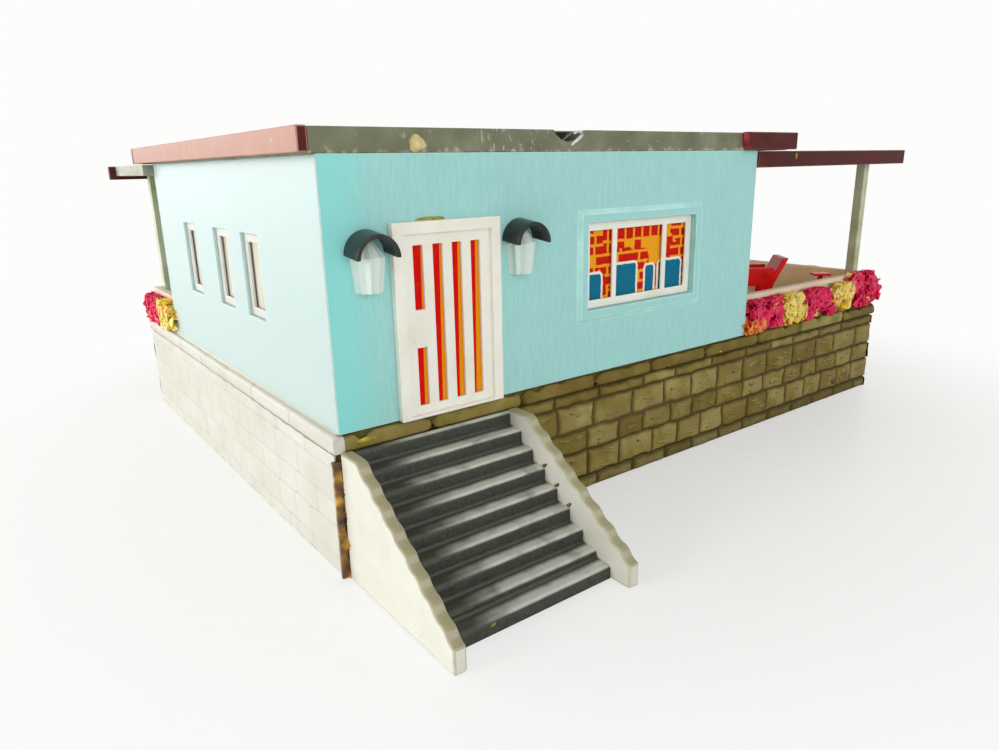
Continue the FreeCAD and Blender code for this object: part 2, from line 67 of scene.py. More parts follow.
def setSockets(tree, node, values):  # a value is set, and another node's socket is linked
    for name, value in values.items():
        if isinstance(value, bpy.types.NodeSocket):
            tree.links.new(value, node.inputs[name])
        else:
            node.inputs[name].default_value = value


def addNode(tree, kind, settings):
    node = tree.nodes.new("ShaderNode" + kind)
    sockets = {}
    for name, value in settings.items():
        if isinstance(name, str) and hasattr(node, name):
            setattr(node, name, value)
        else:
            sockets[name] = value
    setSockets(tree, node, sockets)
    return node


def axesOf(tree, vector):
    return addNode(tree, "SeparateXYZ", {"Vector": vector}).outputs


def facingOf(tree):
    return axesOf(tree, addNode(tree, "NewGeometry", {}).outputs["Normal"])


def shifted(tree, place, settings):
    return addNode(tree, "Mapping", {**settings, "Vector": place}).outputs["Vector"]


def noiseOf(tree, place, sizeMm, detail):
    settings = {"Scale": perMm(sizeMm), "Detail": detail, "Vector": place}
    return addNode(tree, "TexNoise", settings).outputs["Fac"]


def stretchedNoise(tree, place, sizesMm, settings, turn=(0, 0, 0)):
    stretched = shifted(tree, place, {"Scale": [perMm(size) for size in sizesMm], "Rotation": turn})
    return addNode(tree, "TexNoise", {"Scale": 1.0, **settings, "Vector": stretched}).outputs["Fac"]


def rampOf(tree, share, stops, interpolation="LINEAR"):
    node = addNode(tree, "ValToRGB", {"Fac": share})
    node.color_ramp.interpolation = interpolation
    elements = node.color_ramp.elements
    for number, (place, colour) in enumerate(stops):
        stop = elements[number] if number < 2 else elements.new(place)
        stop.position = place
        stop.color = linear(colour)
    return node.outputs["Color"]


def tonesOf(tree, share, look, low, high):  # from the dark tone through the base tone to the light one
    return rampOf(tree, share, [(low, look["dark"]), (high, look["light"]), (0.5, look["base"])])


def remap(tree, value, start, end, low=0.0, high=1.0, curve="LINEAR"):
    return addNode(tree, "MapRange", {
        "interpolation_type": curve, "Value": value, "From Min": start, "From Max": end,
        "To Min": low, "To Max": high,
    }).outputs["Result"]


def layOver(tree, under, overHex, share):
    return addNode(tree, "Mix", {"data_type": "RGBA", 0: share, 6: under, 7: linear(overHex)}).outputs[2]


def maths(tree, operation, *terms, kind="Math", output="Value"):
    return addNode(tree, kind, {"operation": operation, **dict(enumerate(terms))}).outputs[output]


def vectorMaths(tree, operation, *terms):
    return maths(tree, operation, *terms, kind="VectorMath", output="Vector")


def product(tree, share, *others):
    for other in others:
        share = maths(tree, "MULTIPLY", share, other)
    return share


def bump(tree, height, reachMm):
    return addNode(tree, "Bump", {"Distance": reachMm * mm, "Height": height}).outputs["Normal"]


def makeMaterial(name, surface, look):  # surface answers what goes into the shader's sockets
    material = bpy.data.materials.new(name)
    material.use_nodes = True
    tree = material.node_tree
    shader = tree.nodes["Principled BSDF"]
    sockets = surface(tree, addNode(tree, "TexCoord", {}).outputs["Object"], look)
    if "mixed" in sockets:  # a second shader over the first one
        share, other = sockets.pop("mixed")
        both = addNode(tree, "MixShader", {0: share, 1: shader.outputs["BSDF"], 2: other})
        tree.links.new(both.outputs["Shader"], tree.nodes["Material Output"].inputs["Surface"])
    setSockets(tree, shader, sockets)
    return material


def addPiece(name, bm, materials, body, slot, replaced=()):
    mesh = bpy.data.meshes.new(name)
    bm.to_mesh(mesh)
    bm.free()
    for material in materials:
        mesh.materials.append(material)
    piece = bpy.data.objects.new(name, mesh)
    bpy.context.scene.collection.objects.link(piece)
    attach(piece, body)
    if replaced:
        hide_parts(*replaced)
    return piece


def standFor(node, ending, bm, materials):  # a piece in the place of a CAD node
    return addPiece(node + ending, bm, materials, nodeBody[node], nodeSlot[node], [node])


def skin(bm, rows):  # quads between neighbouring rows of points
    for low, high in zip(rows, rows[1:]):
        for i in range(len(low) - 1):
            bm.faces.new((low[i], low[i + 1], high[i + 1], high[i]))


# Materials

def mouldedStyrene(tree, place, look):
    # polystyrene from a steel tool: soft gloss, cloudy flow marks and a faint grain
    flow = noiseOf(tree, place, look["flowMm"], 4)
    colour = tonesOf(tree, flow, look, 0.3, 0.7)
    if "top" in look:  # upward faces take the darker top colour
        colour = layOver(tree, colour, look["top"], remap(tree, facingOf(tree)["Z"], 0.25, 0.75))
    return {
        "Base Color": colour, "Roughness": remap(tree, flow, 0.3, 0.7, *look["rough"]), "IOR": 1.59,
        "Normal": bump(tree, noiseOf(tree, place, look["grainMm"], 3), look["reliefMm"]),
        "Specular IOR Level": look.get("gloss", 0.4), "Subsurface Radius": (1.0, 0.7, 0.4),
        "Subsurface Weight": look.get("scatter", 0.0), "Subsurface Scale": look.get("scatterMm", 1) * mm,
    }


def creamStyrene(tree, place, look):
    # thin cream polystyrene that daylight shines through, so its shaded side glows peach
    through = addNode(tree, "BsdfTranslucent", {"Color": linear(look["glow"])}).outputs["BSDF"]
    return {**mouldedStyrene(tree, place, look), "mixed": (look["glowShare"], through)}


def styrene(name, tones, sizesMm, rough, surface=mouldedStyrene, **more):
    # tones are base, dark and light; sizes are of the flow marks, the grain and its relief
    names = ("base", "dark", "light", "flowMm", "grainMm", "reliefMm")
    return makeMaterial(name, surface, {**dict(zip(names, tones + sizesMm)), "rough": rough, **more})


ivoryStyrene = styrene(
    "ivoryStyreneMoulded", ("#EFECE1", "#E8E1D0", "#F3F1E9"), (7, 0.5, 0.01), (0.3, 0.42), scatter=0.2
)
ivoryEdge = styrene("ivoryStyreneWornEdge", ("#F2EFE5", "#E3D9C2", "#F5F2EA"), (2, 0.4, 0.01), (0.35, 0.5))
# a darker copy of the ivory for the side window frames' left faces: painted shade against the strong light
ivoryLitSidePaintedDarker = styrene(
    "ivoryStyreneSunBleached", ("#CFCDC5", "#C9C5B9", "#D4D3CC"), (7, 0.5, 0.01), (0.4, 0.5), gloss=0.2
)
# a brighter copy of the ivory for the side window frames' reveals: painted light, over the light through the
# thin plastic
ivoryRevealPaintedLight = styrene(
    "ivoryStyreneThin", ("#FBF8F0", "#F6F0E2", "#FDFBF6"), (7, 0.5, 0.01), (0.4, 0.5), creamStyrene,
    gloss=0.2, scatter=0.6, scatterMm=2.0, glow="#FFF8EA", glowShare=0.3,
)
parapetStyrene = styrene(
    "creamStyreneParapet", ("#FDF4E2", "#F9E7C6", "#FEF9F0"), (9, 0.5, 0.02), (0.4, 0.55), creamStyrene,
    gloss=0.3, glow="#FFE6BA", glowShare=0.35,
)
# a peach copy of the cream for the parapet's inside: painted glow of light through the plastic and of the
# flowers' colour
parapetInsidePaintedGlow = styrene(
    "creamStyreneParapetInside", ("#FFE9BE", "#FFDDA6", "#FFF1D6"), (6, 0.5, 0.02), (0.4, 0.55), creamStyrene,
    gloss=0.3, glow="#FFD9A0", glowShare=0.25,
)
hoodStyrene = styrene(
    "blackStyreneHood", ("#1B201A", "#121611", "#292F28"), (2, 0.3, 0.015), (0.24, 0.38), gloss=0.35
)
cheekStyrene = styrene(
    "greyStyreneCheek", ("#D6D5C9", "#CFCDC0", "#DBDAD0"), (7, 0.6, 0.05), (0.5, 0.65),
    gloss=0.25, top="#A29B78",
)
cheekEdge = styrene(
    "greyStyreneWornEdge", ("#BBB7A3", "#ACA68E", "#C8C5B5"), (2.5, 0.5, 0.05), (0.5, 0.65),
    gloss=0.25, top="#A8A181",
)
redStyrene = styrene(
    "redStyreneFascia", ("#4C1612", "#40100D", "#5A1F1A"), (4, 0.5, 0.02), (0.4, 0.55), gloss=0.12
)
redEdge = styrene(
    "redStyreneWornEdge", ("#642320", "#4A1A17", "#8E4740"), (1.4, 0.4, 0.02), (0.4, 0.55), gloss=0.22
)
# a paler copy of the red for the left fascia's sunlit left faces: painted light
redLitSidePaintedPaler = styrene(
    "redStyreneSunFaded", ("#AC7A67", "#A06C5A", "#B78A79"), (9, 0.5, 0.02), (0.45, 0.6), gloss=0.25
)
# the front fascia's broken end face: crumbly grain, painted paler red as lit from the left
brokenRedPaintedLit = styrene(
    "redStyreneBroken", ("#A8263A", "#84182A", "#D0586C"), (0.9, 0.3, 0.08), (0.45, 0.6), gloss=0.25
)
scratchedRed = styrene(
    "redStyreneScratched", ("#D8B7AB", "#CDA799", "#DFC4BA"), (0.8, 0.3, 0.02), (0.5, 0.65)
)
postStyrene = styrene(
    "oliveStyrenePost", ("#BEBE9E", "#A8A375", "#CBCAB4"), (5, 0.5, 0.03), (0.4, 0.55), gloss=0.3
)
chairStyrene = styrene(
    "redStyreneGloss", ("#E80C10", "#D0080A", "#F02018"), (3, 0.5, 0.008), (0.26, 0.36),
    gloss=0.15, scatter=0.3, scatterMm=1.5,
)
# a paler turquoise for bevelled wall edges and the window surround's slopes: painted highlight
plasterPaintedEdgeHighlight = styrene(
    "turquoiseStyreneRubbedEdge", ("#B6E4E0", "#A8DAD6", "#C4ECE8"), (3, 0.4, 0.01), (0.4, 0.5), gloss=0.3
)
stressWhite = styrene(
    "greyStyreneStressWhite", ("#CFCEC2", "#A5A492", "#E6E5DC"), (0.8, 0.3, 0.05), (0.5, 0.65)
)
rustStone = styrene(
    "brownStyreneBroken", ("#6C5526", "#4A3A18", "#8A7746"), (1.6, 0.4, 0.12), (0.5, 0.65), gloss=0.2
)
ochreGlue = styrene("ochreSolventGlueDried", ("#6E4816", "#24140A", "#D0A032"), (2.4, 0.3, 0.05), (0.25, 0.5))
creamGlue = styrene("creamSolventGlueDried", ("#C9B978", "#A99A62", "#DCD2AC"), (1.2, 0.3, 0.04), (0.3, 0.5))
mustardGlue = styrene(
    "mustardSolventGlueDried", ("#9A8C16", "#6B6410", "#C2AE2E"), (1.0, 0.3, 0.04), (0.2, 0.4)
)


def plasterStyrene(tree, place, look):
    # polystyrene wall whose tool was combed, so short upright streaks stand out like brushed render,
    # with a painted glow near the corner beside the sunny wall, for daylight through the thin plastic there
    width, length = look["streakMm"]
    streak = stretchedNoise(tree, place, (width, width, length), {"Detail": 3, "Roughness": 0.55})
    soiling = remap(tree, noiseOf(tree, place, look["cloudMm"], 2), 0.5, 0.8, 0.0, look["soil"])
    colour = layOver(tree, tonesOf(tree, streak, look, 0.3, 0.72), look["soilColour"], soiling)
    corner, reach = look["cornerX"], look["cornerMm"] * mm
    across = axesOf(tree, place)["X"]
    # a painted glow near the corner, for daylight through the thin plastic
    paintedCornerGlow = remap(tree, across, corner + reach, corner, 0.0, look["cornerShare"], "SMOOTHSTEP")
    return {
        "Base Color": layOver(tree, colour, look["cornerColour"], paintedCornerGlow), "Roughness": look["rough"],
        "Normal": bump(tree, streak, look["reliefMm"]), "IOR": 1.5, "Subsurface Weight": look["scatter"],
        "Subsurface Scale": look["scatterMm"] * mm, "Subsurface Radius": (0.5, 1.0, 0.95),
    }


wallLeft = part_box("house_wall_front")[0].x
combed = {  # what both walls share
    "streakMm": (0.28, 2.4), "cloudMm": 14, "soil": 0.2,
    "cornerX": wallLeft, "cornerMm": 9, "cornerShare": 0.8,
}
turquoisePlaster = makeMaterial("turquoiseStyrenePlaster", plasterStyrene, {
    **combed, "base": "#9ED4D2", "dark": "#99CFCC", "light": "#A5D9D7", "soilColour": "#8FC0B8",
    "cornerColour": "#84DEDA", "reliefMm": 0.026, "rough": 0.42, "scatter": 0.2, "scatterMm": 1.5,
})
# a paler, greyer copy of the turquoise for the left wall: painted light of its sunny side
plasterLitSidePaintedPaler = makeMaterial("turquoiseStyreneSunBleached", plasterStyrene, {
    **combed, "base": "#B9CCCA", "dark": "#B4C8C5", "light": "#BED0CE", "soilColour": "#AFC3BF",
    "cornerColour": "#B9CCCA", "reliefMm": 0.025, "rough": 0.5, "scatter": 0.6, "scatterMm": 2.0,
})


def stoneStyrene(tree, place, look):
    # polystyrene moulded as rough blocks: matt, each block a little different, grime in the joints,
    # and the chisel marks painted paler above and darker below, a painted highlight and a painted shadow
    tint, grime = [
        addNode(tree, "Attribute", {"attribute_name": layer}).outputs["Fac"] for layer in ("tint", "grime")
    ]
    grit = noiseOf(tree, place, look["gritMm"], 3)
    shift = maths(tree, "MULTIPLY_ADD", tint, look["tintShare"], noiseOf(tree, place, look["mottleMm"], 5))
    stain = remap(tree, noiseOf(tree, place, look["rustMm"], 3), 0.48, 0.68, 0.0, 0.55)
    colour = layOver(tree, tonesOf(tree, shift, look, 0.28, 0.75), look["rust"], stain)
    dirtAndShade = maths(tree, "MULTIPLY_ADD", grit, look["gritShare"], grime)
    return {
        "Base Color": layOver(tree, colour, look["grime"], remap(tree, dirtAndShade, 0.35, 1.2, 0.0, look["dirt"])),
        "Roughness": remap(tree, grit, 0.3, 0.7, 0.42, 0.65), "Normal": bump(tree, grit, look["reliefMm"]),
        "IOR": 1.5, "Specular IOR Level": look["gloss"],
    }


oliveStone = makeMaterial("oliveStyreneStone", stoneStyrene, {
    "base": "#837539", "dark": "#6C5E27", "light": "#9C8F58", "grime": "#403514", "rust": "#6E4E26",
    "mottleMm": 4, "gritMm": 0.5, "rustMm": 8, "tintShare": 0.22, "gritShare": 0.5, "dirt": 0.78,
    "reliefMm": 0.16, "gloss": 0.15,
})
smooth = {"mottleMm": 6, "gritMm": 0.5, "rustMm": 12, "gritShare": 0.4, "gloss": 0.2}
pavingStone = makeMaterial("greyStyrenePaving", stoneStyrene, {
    **smooth, "base": "#EBE2C8", "dark": "#E0D5B5", "light": "#F1EBD9", "grime": "#D2C7A4", "rust": "#E6D8B4",
    "tintShare": 0.1, "dirt": 0.3, "reliefMm": 0.06,
})
paleStone = makeMaterial("paleStyreneStone", stoneStyrene, {
    **smooth, "base": "#CECCC2", "dark": "#C8C5B9", "light": "#D3D2C9", "grime": "#BFBBAC", "rust": "#CBC6B6",
    "tintShare": 0.08, "dirt": 0.2, "reliefMm": 0.05,
})


def stairStyrene(tree, place, look):
    # semi-gloss charcoal polystyrene, dark on the risers; treads lighter, partly dust, partly painted light;
    # pale along the nosings, partly rubbed wear, partly a painted highlight that fades to painted shade
    # at the crease; darker beside the left cheek, partly grime, partly the cheek's painted shadow
    axes = axesOf(tree, place)
    dust = noiseOf(tree, place, look["dustMm"], 5)
    rub = noiseOf(tree, place, look["rubMm"], 3)
    going = perMm(look["goingMm"])
    strides = maths(tree, "MULTIPLY_ADD", axes["Y"], going, -look["nosingY"] * going)
    # treads lighter than risers: partly dust, partly painted light
    tread = remap(tree, facingOf(tree)["Z"], 0.3, 0.85, curve="SMOOTHSTEP")
    # brighter at each nosing, darker towards the crease: painted highlight and painted shade
    nosing = remap(tree, maths(tree, "FRACT", strides), 0.95, 0.4, curve="SMOOTHSTEP")
    # no pale nosing beside the left cheek: the cheek's painted shadow, partly grime
    outsideCheekShadow = remap(tree, axes["X"], *look["cleanX"], curve="SMOOTHSTEP")
    # worn: the pale nosing share, partly rubbed wear and partly painted highlight
    worn = remap(tree, product(tree, tread, nosing, outsideCheekShadow, dust), 0.05, 0.5)
    colour = rampOf(tree, rub, [(0.3, look["dark"]), (0.7, look["light"])])
    return {
        "Base Color": layOver(tree, layOver(tree, colour, look["grime"], tread), look["worn"], worn),
        "Roughness": remap(tree, dust, 0.3, 0.7, 0.3, 0.46), "Normal": bump(tree, rub, look["reliefMm"]),
        "IOR": 1.55, "Specular IOR Level": 0.35,
    }


stairLow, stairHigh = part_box("stair_flight")
charcoalStair = makeMaterial("charcoalStyreneStair", stairStyrene, {
    # worn: the pale nosing colour, partly rubbed wear and partly painted highlight
    "dark": "#2C2F28", "light": "#40433B", "grime": "#45453A", "worn": "#C6C7BB", "dustMm": 2.5, "rubMm": 0.5,
    "reliefMm": 0.03, "goingMm": 2.56, "nosingY": stairHigh.y - 0.65 * mm,
    "cleanX": (stairLow.x + 1.5 * mm, stairLow.x + 12 * mm),  # the cheek's painted shadow, partly grime, thins out between these
})


def roofStyrene(tree, place, look):
    # bare roof plate: dull grey-olive polystyrene, torn cream glue along the lower edge, white scratches
    axes = axesOf(tree, place)
    torn = noiseOf(tree, place, look["tornMm"], 4)
    lowEdge = remap(tree, axes["Z"], look["edgeZ"], look["edgeZ"] + look["edgeMm"] * mm, 0.22, 0.0)
    glued = remap(tree, maths(tree, "ADD", torn, lowEdge), 0.64, 0.82, 0.0, 0.8)
    colour = tonesOf(tree, noiseOf(tree, place, look["cloudMm"], 5), look, 0.3, 0.72)
    colour = layOver(tree, colour, look["glue"], glued)
    width, length = look["scratchMm"]
    slant = (0, math.radians(look["scratchSlant"]), 0)
    scratch = stretchedNoise(tree, place, (width, length, length), {"Detail": 2}, slant)
    left, right = [wallLeft + reach * mm for reach in look["scratchedMm"]]
    scratched = product(
        tree, remap(tree, facingOf(tree)["Y"], -0.3, -0.7),  # only on the front edge
        remap(tree, axes["X"], left, left + 4 * mm, curve="SMOOTHSTEP"),
        remap(tree, axes["X"], right, right - 5 * mm, curve="SMOOTHSTEP"),
        remap(tree, scratch, 0.62, 0.72, 0.0, 0.6),
    )
    return {
        "Base Color": layOver(tree, colour, look["scratch"], scratched), "Roughness": 0.5,
        "Normal": bump(tree, torn, look["reliefMm"]), "IOR": 1.5,
    }


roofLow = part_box("house_wall_front")[1].z
handled = {"glue": "#B9B59A", "tornMm": 1.2, "scratchMm": (0.35, 1.1), "scratchSlant": 35}
greyRoof = makeMaterial("greyStyreneRoof", roofStyrene, {
    **handled, "base": "#6E7057", "dark": "#5F6147", "light": "#83846C", "scratch": "#D2D1C2",
    "cloudMm": 5, "edgeZ": roofLow, "edgeMm": 0.7, "scratchedMm": (20, 38), "reliefMm": 0.06,
})
terraceRoof = makeMaterial("greyStyreneTerraceRoof", roofStyrene, {
    **handled, "base": "#8C8C76", "dark": "#7E7E67", "light": "#9C9C88", "scratch": "#C2C1B0",
    "cloudMm": 6, "edgeZ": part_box("terrace_roof_back")[0].z, "edgeMm": 0.4, "scratchedMm": (90, 110),
    "reliefMm": 0.05,
})


def brokenStyrene(tree, place, look):
    # fresh break in the plastic: nearly black in the hollow as painted shade, stress-whitened along the rim
    crumble = noiseOf(tree, place, look["crumbleMm"], 4)
    rim = look["rimX"]
    across = remap(tree, axesOf(tree, place)["X"], rim - look["rimMm"] * mm, rim, -0.35, 0.3)
    stops = [(0.45, look["hollow"]), (0.72, look["rim"]), (0.58, look["middle"])]
    return {
        "Base Color": rampOf(tree, maths(tree, "ADD", crumble, across), stops), "Roughness": 0.6,
        "Normal": bump(tree, crumble, look["reliefMm"]), "IOR": 1.5, "Specular IOR Level": 0.2,
    }


roofChip = {"left": 34.9, "right": 41.2, "deepMm": 2.7}  # from the wall's left end, and how far it bites in
brokenRoof = makeMaterial("greyStyreneBroken", brokenStyrene, {
    "hollow": "#1C1C1C", "middle": "#45453C", "rim": "#D3D2C8", "rimX": wallLeft + roofChip["right"] * mm,
    "rimMm": 3.0, "crumbleMm": 0.6, "reliefMm": 0.15,
})


def stripedFoil(tree, place, look):
    # clear foil printed on its back in upright red and orange stripes
    axes = axesOf(tree, place)
    pitch = perMm(look["pitchMm"])
    lean = maths(tree, "MULTIPLY_ADD", axes["Z"], -look["lean"], axes["X"])
    turns = maths(tree, "MULTIPLY_ADD", lean, pitch, (look["lean"] * look["topZ"] - look["redX"]) * pitch)
    stops = [(0.0, look["red"]), (look["redShare"], look["orange"])]
    stripe = rampOf(tree, maths(tree, "FRACT", turns), stops, "CONSTANT")
    fade = remap(tree, noiseOf(tree, place, look["wearMm"], 3), 0.45, 0.9, 0.0, 0.15)
    return {
        "Base Color": layOver(tree, stripe, look["faded"], fade), "Roughness": 0.35,
        "IOR": 1.49, "Specular IOR Level": 0.08,
    }


doorLow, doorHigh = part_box("front_door")
doorFoil = makeMaterial("stripedFoilPrinted", stripedFoil, {
    "red": "#D20206", "orange": "#E6960A", "faded": "#D2660C", "pitchMm": 2.78, "redShare": 0.65,
    "lean": 0.02, "topZ": doorHigh.z, "redX": doorLow.x + 2.66 * mm, "wearMm": 1.5,
})


def printedCard(tree, place, look):
    # card printed flat: blocky warm patches with bright seams, and a row of cool rounded panels low down
    place = shifted(tree, place, {"Location": (-look["corner"]).to_tuple()})
    axes = axesOf(tree, place)
    flat = addNode(tree, "CombineXYZ", {"X": axes["X"], "Y": axes["Z"]}).outputs["Vector"]
    tear = addNode(tree, "TexNoise", {"Scale": perMm(look["tearMm"]), "Detail": 3, "Vector": place})
    torn = vectorMaths(tree, "MULTIPLY_ADD", tear.outputs["Color"], [look["tearReachMm"] * mm] * 3, flat)
    quarter = shifted(tree, torn, {"Rotation": (0, 0, math.radians(90))})
    lying, standing = [
        addNode(tree, "TexBrick", {
            "offset": 0.37, "squash": 1.7, "squash_frequency": 2, "Vector": source, "Bias": 0,
            "Color1": linear("#000000"), "Color2": linear("#FFFFFF"), "Scale": perMm(look["patchMm"]),
            "Mortar Size": look["seamMm"] / look["patchMm"] / 2, "Mortar Smooth": 0,
            "Brick Width": width, "Row Height": height,
        }).outputs
        for source, (width, height) in zip((torn, quarter), look["blocks"])
    ]
    group = addNode(tree, "TexVoronoi", {
        "voronoi_dimensions": "2D", "distance": "CHEBYCHEV", "Scale": perMm(look["groupMm"]),
        "Randomness": 0.8, "Vector": torn,
    })
    turned = maths(tree, "GREATER_THAN", group.outputs["Color"], 0.5)
    tone = addNode(tree, "Mix", {"data_type": "RGBA", 0: turned, 6: lying["Color"], 7: standing["Color"]})
    seam = addNode(tree, "Mix", {"data_type": "FLOAT", 0: turned, 2: lying["Fac"], 3: standing["Fac"]})
    stops = [(0.0, look["red"]), (0.85, look["yellow"]), (0.98, look["dark"])]
    colour = layOver(tree, rampOf(tree, tone.outputs[2], stops, "CONSTANT"), look["yellow"], seam.outputs[0])
    rounding = look["roundMm"]
    for left, right, top in look["panelsMm"]:  # a panel's distance field gives its outline
        centre = Vector(((left + right) / 2, top / 2, 0)) * mm
        reach = Vector(((right - left) / 2 - rounding, top / 2 - rounding, 1)) * mm
        offset = vectorMaths(tree, "ABSOLUTE", vectorMaths(tree, "SUBTRACT", torn, centre))
        offset = vectorMaths(tree, "MAXIMUM", vectorMaths(tree, "SUBTRACT", offset, reach), (0, 0, 0))
        outside = maths(tree, "LENGTH", offset, kind="VectorMath")
        for shade, widthMm in ((look["outline"], rounding + look["outlineMm"]), (look["teal"], rounding)):
            colour = layOver(tree, colour, shade, maths(tree, "LESS_THAN", outside, widthMm * mm))
    behind = maths(tree, "GREATER_THAN", facingOf(tree)["Y"], 0.5)
    return {
        "Base Color": layOver(tree, colour, look["card"], behind),  # the back stays bare card
        "Roughness": 0.5, "IOR": 1.45, "Specular IOR Level": 0.08,
    }


mosaicCard = makeMaterial("mosaicCardPrinted", printedCard, {
    "red": "#CE1207", "yellow": "#F4A41A", "dark": "#2E4A52", "teal": "#0A6F90", "outline": "#F2EEDF",
    "card": "#D9D3C2", "tearMm": 0.7, "tearReachMm": 0.3, "patchMm": 4.0, "seamMm": 0.42, "groupMm": 5.0,
    "blocks": [(0.72, 0.4), (0.62, 0.48)], "roundMm": 0.5, "outlineMm": 0.4,
    "panelsMm": [(0.8, 4.4, 5.2), (7.0, 12.2, 6.2), (14.4, 16.4, 5.5), (17.6, 23.0, 5.9)],  # left, right, top
    "corner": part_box("front_window_frame")[0],
})


def curtainCard(tree, place, look):
    # card printed as a drawn curtain: soft upright folds, pale with a few warm lines
    width, length = look["foldMm"]
    folds = stretchedNoise(tree, place, (width, width, length), {"Detail": 1})
    return {
        "Base Color": tonesOf(tree, folds, look, 0.35, 0.7), "Roughness": 0.6,
        "Normal": bump(tree, folds, look["reliefMm"]), "IOR": 1.45,
    }


foldedCard = makeMaterial("curtainCardPrinted", curtainCard, {
    "base": "#DAD7CC", "dark": "#D0C4A6", "light": "#E0DED5", "foldMm": (0.9, 12.6), "reliefMm": 0.04,
})


def clearStyrene(tree, place, look):
    # clear polystyrene: bright edges, a trace of grey-green, fine handling haze
    haze = noiseOf(tree, place, look["hazeMm"], 4)
    gloss = remap(tree, haze, 0.35, 0.7, *look["rough"])
    return {"Roughness": gloss, "Normal": bump(tree, haze, 0.02), **look["sockets"]}


clearSheet = makeMaterial("clearSheetCast", clearStyrene, {
    "hazeMm": 6, "rough": (0.04, 0.12),
    "sockets": {"Base Color": linear("#2A2E2C"), "IOR": 1.49, "Alpha": 0.02},
})
lampClear = makeMaterial("clearStyreneLamp", clearStyrene, {
    "hazeMm": 1.2, "rough": (0.06, 0.22),
    "sockets": {"Base Color": linear("#E8F8F1"), "IOR": 1.45, "Transmission Weight": 0.2},
})


def petalVinyl(tree, place, look):
    # soft vinyl dipped in bright colour: silky, lets a little light through the thin frills
    fleck = noiseOf(tree, place, look["fleckMm"], 3)
    dipped = addNode(tree, "Attribute", {"attribute_name": "petalColour"}).outputs["Color"]
    shade = remap(tree, fleck, 0.3, 0.7, 0.85, 1.1)
    colour = addNode(tree, "HueSaturation", {"Color": dipped, "Value": shade}).outputs["Color"]
    through = addNode(tree, "BsdfTranslucent", {"Color": colour}).outputs["BSDF"]
    return {
        "Base Color": colour, "Roughness": 0.45, "Normal": bump(tree, fleck, look["reliefMm"]),
        "IOR": 1.52, "Specular IOR Level": 0.2, "mixed": (look["through"], through),
    }


flowerVinyl = makeMaterial("flowerVinylDipped", petalVinyl, {
    "fleckMm": 0.6, "reliefMm": 0.06, "through": 0.2,
})
print("materials made:", len(bpy.data.materials))


# Mouldings: the solids with their edges softened as a moulding tool leaves them

def softCopy(node, materials, edgeMm):
    bm = bmesh.new()
    bm.from_mesh(frame["nodes"][node].data)
    bmesh.ops.remove_doubles(bm, verts=bm.verts, dist=0.001 * mm)
    bmesh.ops.dissolve_limit(bm, angle_limit=math.radians(1), verts=bm.verts, edges=bm.edges)
    for face in bm.faces:
        face.smooth = True
        face.material_index = 0
    piece = standFor(node, "_moulding", bm, materials)
    edge = piece.modifiers.new("softEdges", "BEVEL")
    edge.width = edgeMm * mm
    edge.segments = 2
    edge.limit_method = "ANGLE"
    edge.angle_limit = math.radians(32)
    edge.material = len(materials) - 1
    piece.modifiers.new("flatFaces", "WEIGHTED_NORMAL")


frames = ("front_window_frame", "back_window_frame", "terrace_door_frame")
mouldings = {  # how a node's name starts: its materials, the last one on the edges, and its edge radius in mm
    # the left wall takes the paler copy of the turquoise: painted light
    "house_wall_left": ([plasterLitSidePaintedPaler], 0.15),
    # the bevelled edges of these walls take the paler turquoise: painted highlight
    "house_wall": ([turquoisePlaster, plasterPaintedEdgeHighlight], 0.15),
    "front_door": ([ivoryStyrene, ivoryEdge], 0.14),
    frames: ([ivoryStyrene, ivoryEdge], 0.12),
    # side window frames: reveals painted brighter, left faces painted darker, lit and shaded copies of the
    # ivory
    "side_window_frame": ([ivoryRevealPaintedLight, ivoryLitSidePaintedDarker], 0.12),
    "stair_flight": ([charcoalStair], 0.08),
    "stair_cheek": ([cheekStyrene, cheekEdge], 0.28),
    "lamp_hood": ([hoodStyrene], 0.1),
    "roof_plate": ([greyRoof], 0.18),
    "terrace_roof": ([terraceRoof], 0.15),
    # the left fascia's left faces and edges take the paler red: painted light
    "roof_fascia_left": ([redStyrene, redLitSidePaintedPaler], 0.18),
    # the front fascia's broken end face takes the paler red: painted light
    "roof_fascia_front": ([redStyrene, brokenRedPaintedLit, redEdge], 0.18),
    ("roof_fascia", "terrace_fascia"): ([redStyrene, redEdge], 0.18),
    "terrace_post": ([postStyrene], 0.15),
    "parapet": ([parapetInsidePaintedGlow, parapetStyrene], 0.15),
    "terrace_chair": ([chairStyrene], 0.15),
    "terrace_table": ([chairStyrene], 0.12),
}
for node in sorted(frame["nodes"]):
    for start, (materials, edgeMm) in mouldings.items():
        if node.startswith(start):
            softCopy(node, materials, edgeMm)
            break


def mouldingFaces(node):
    return bpy.data.objects[node + "_moulding"].data.polygons


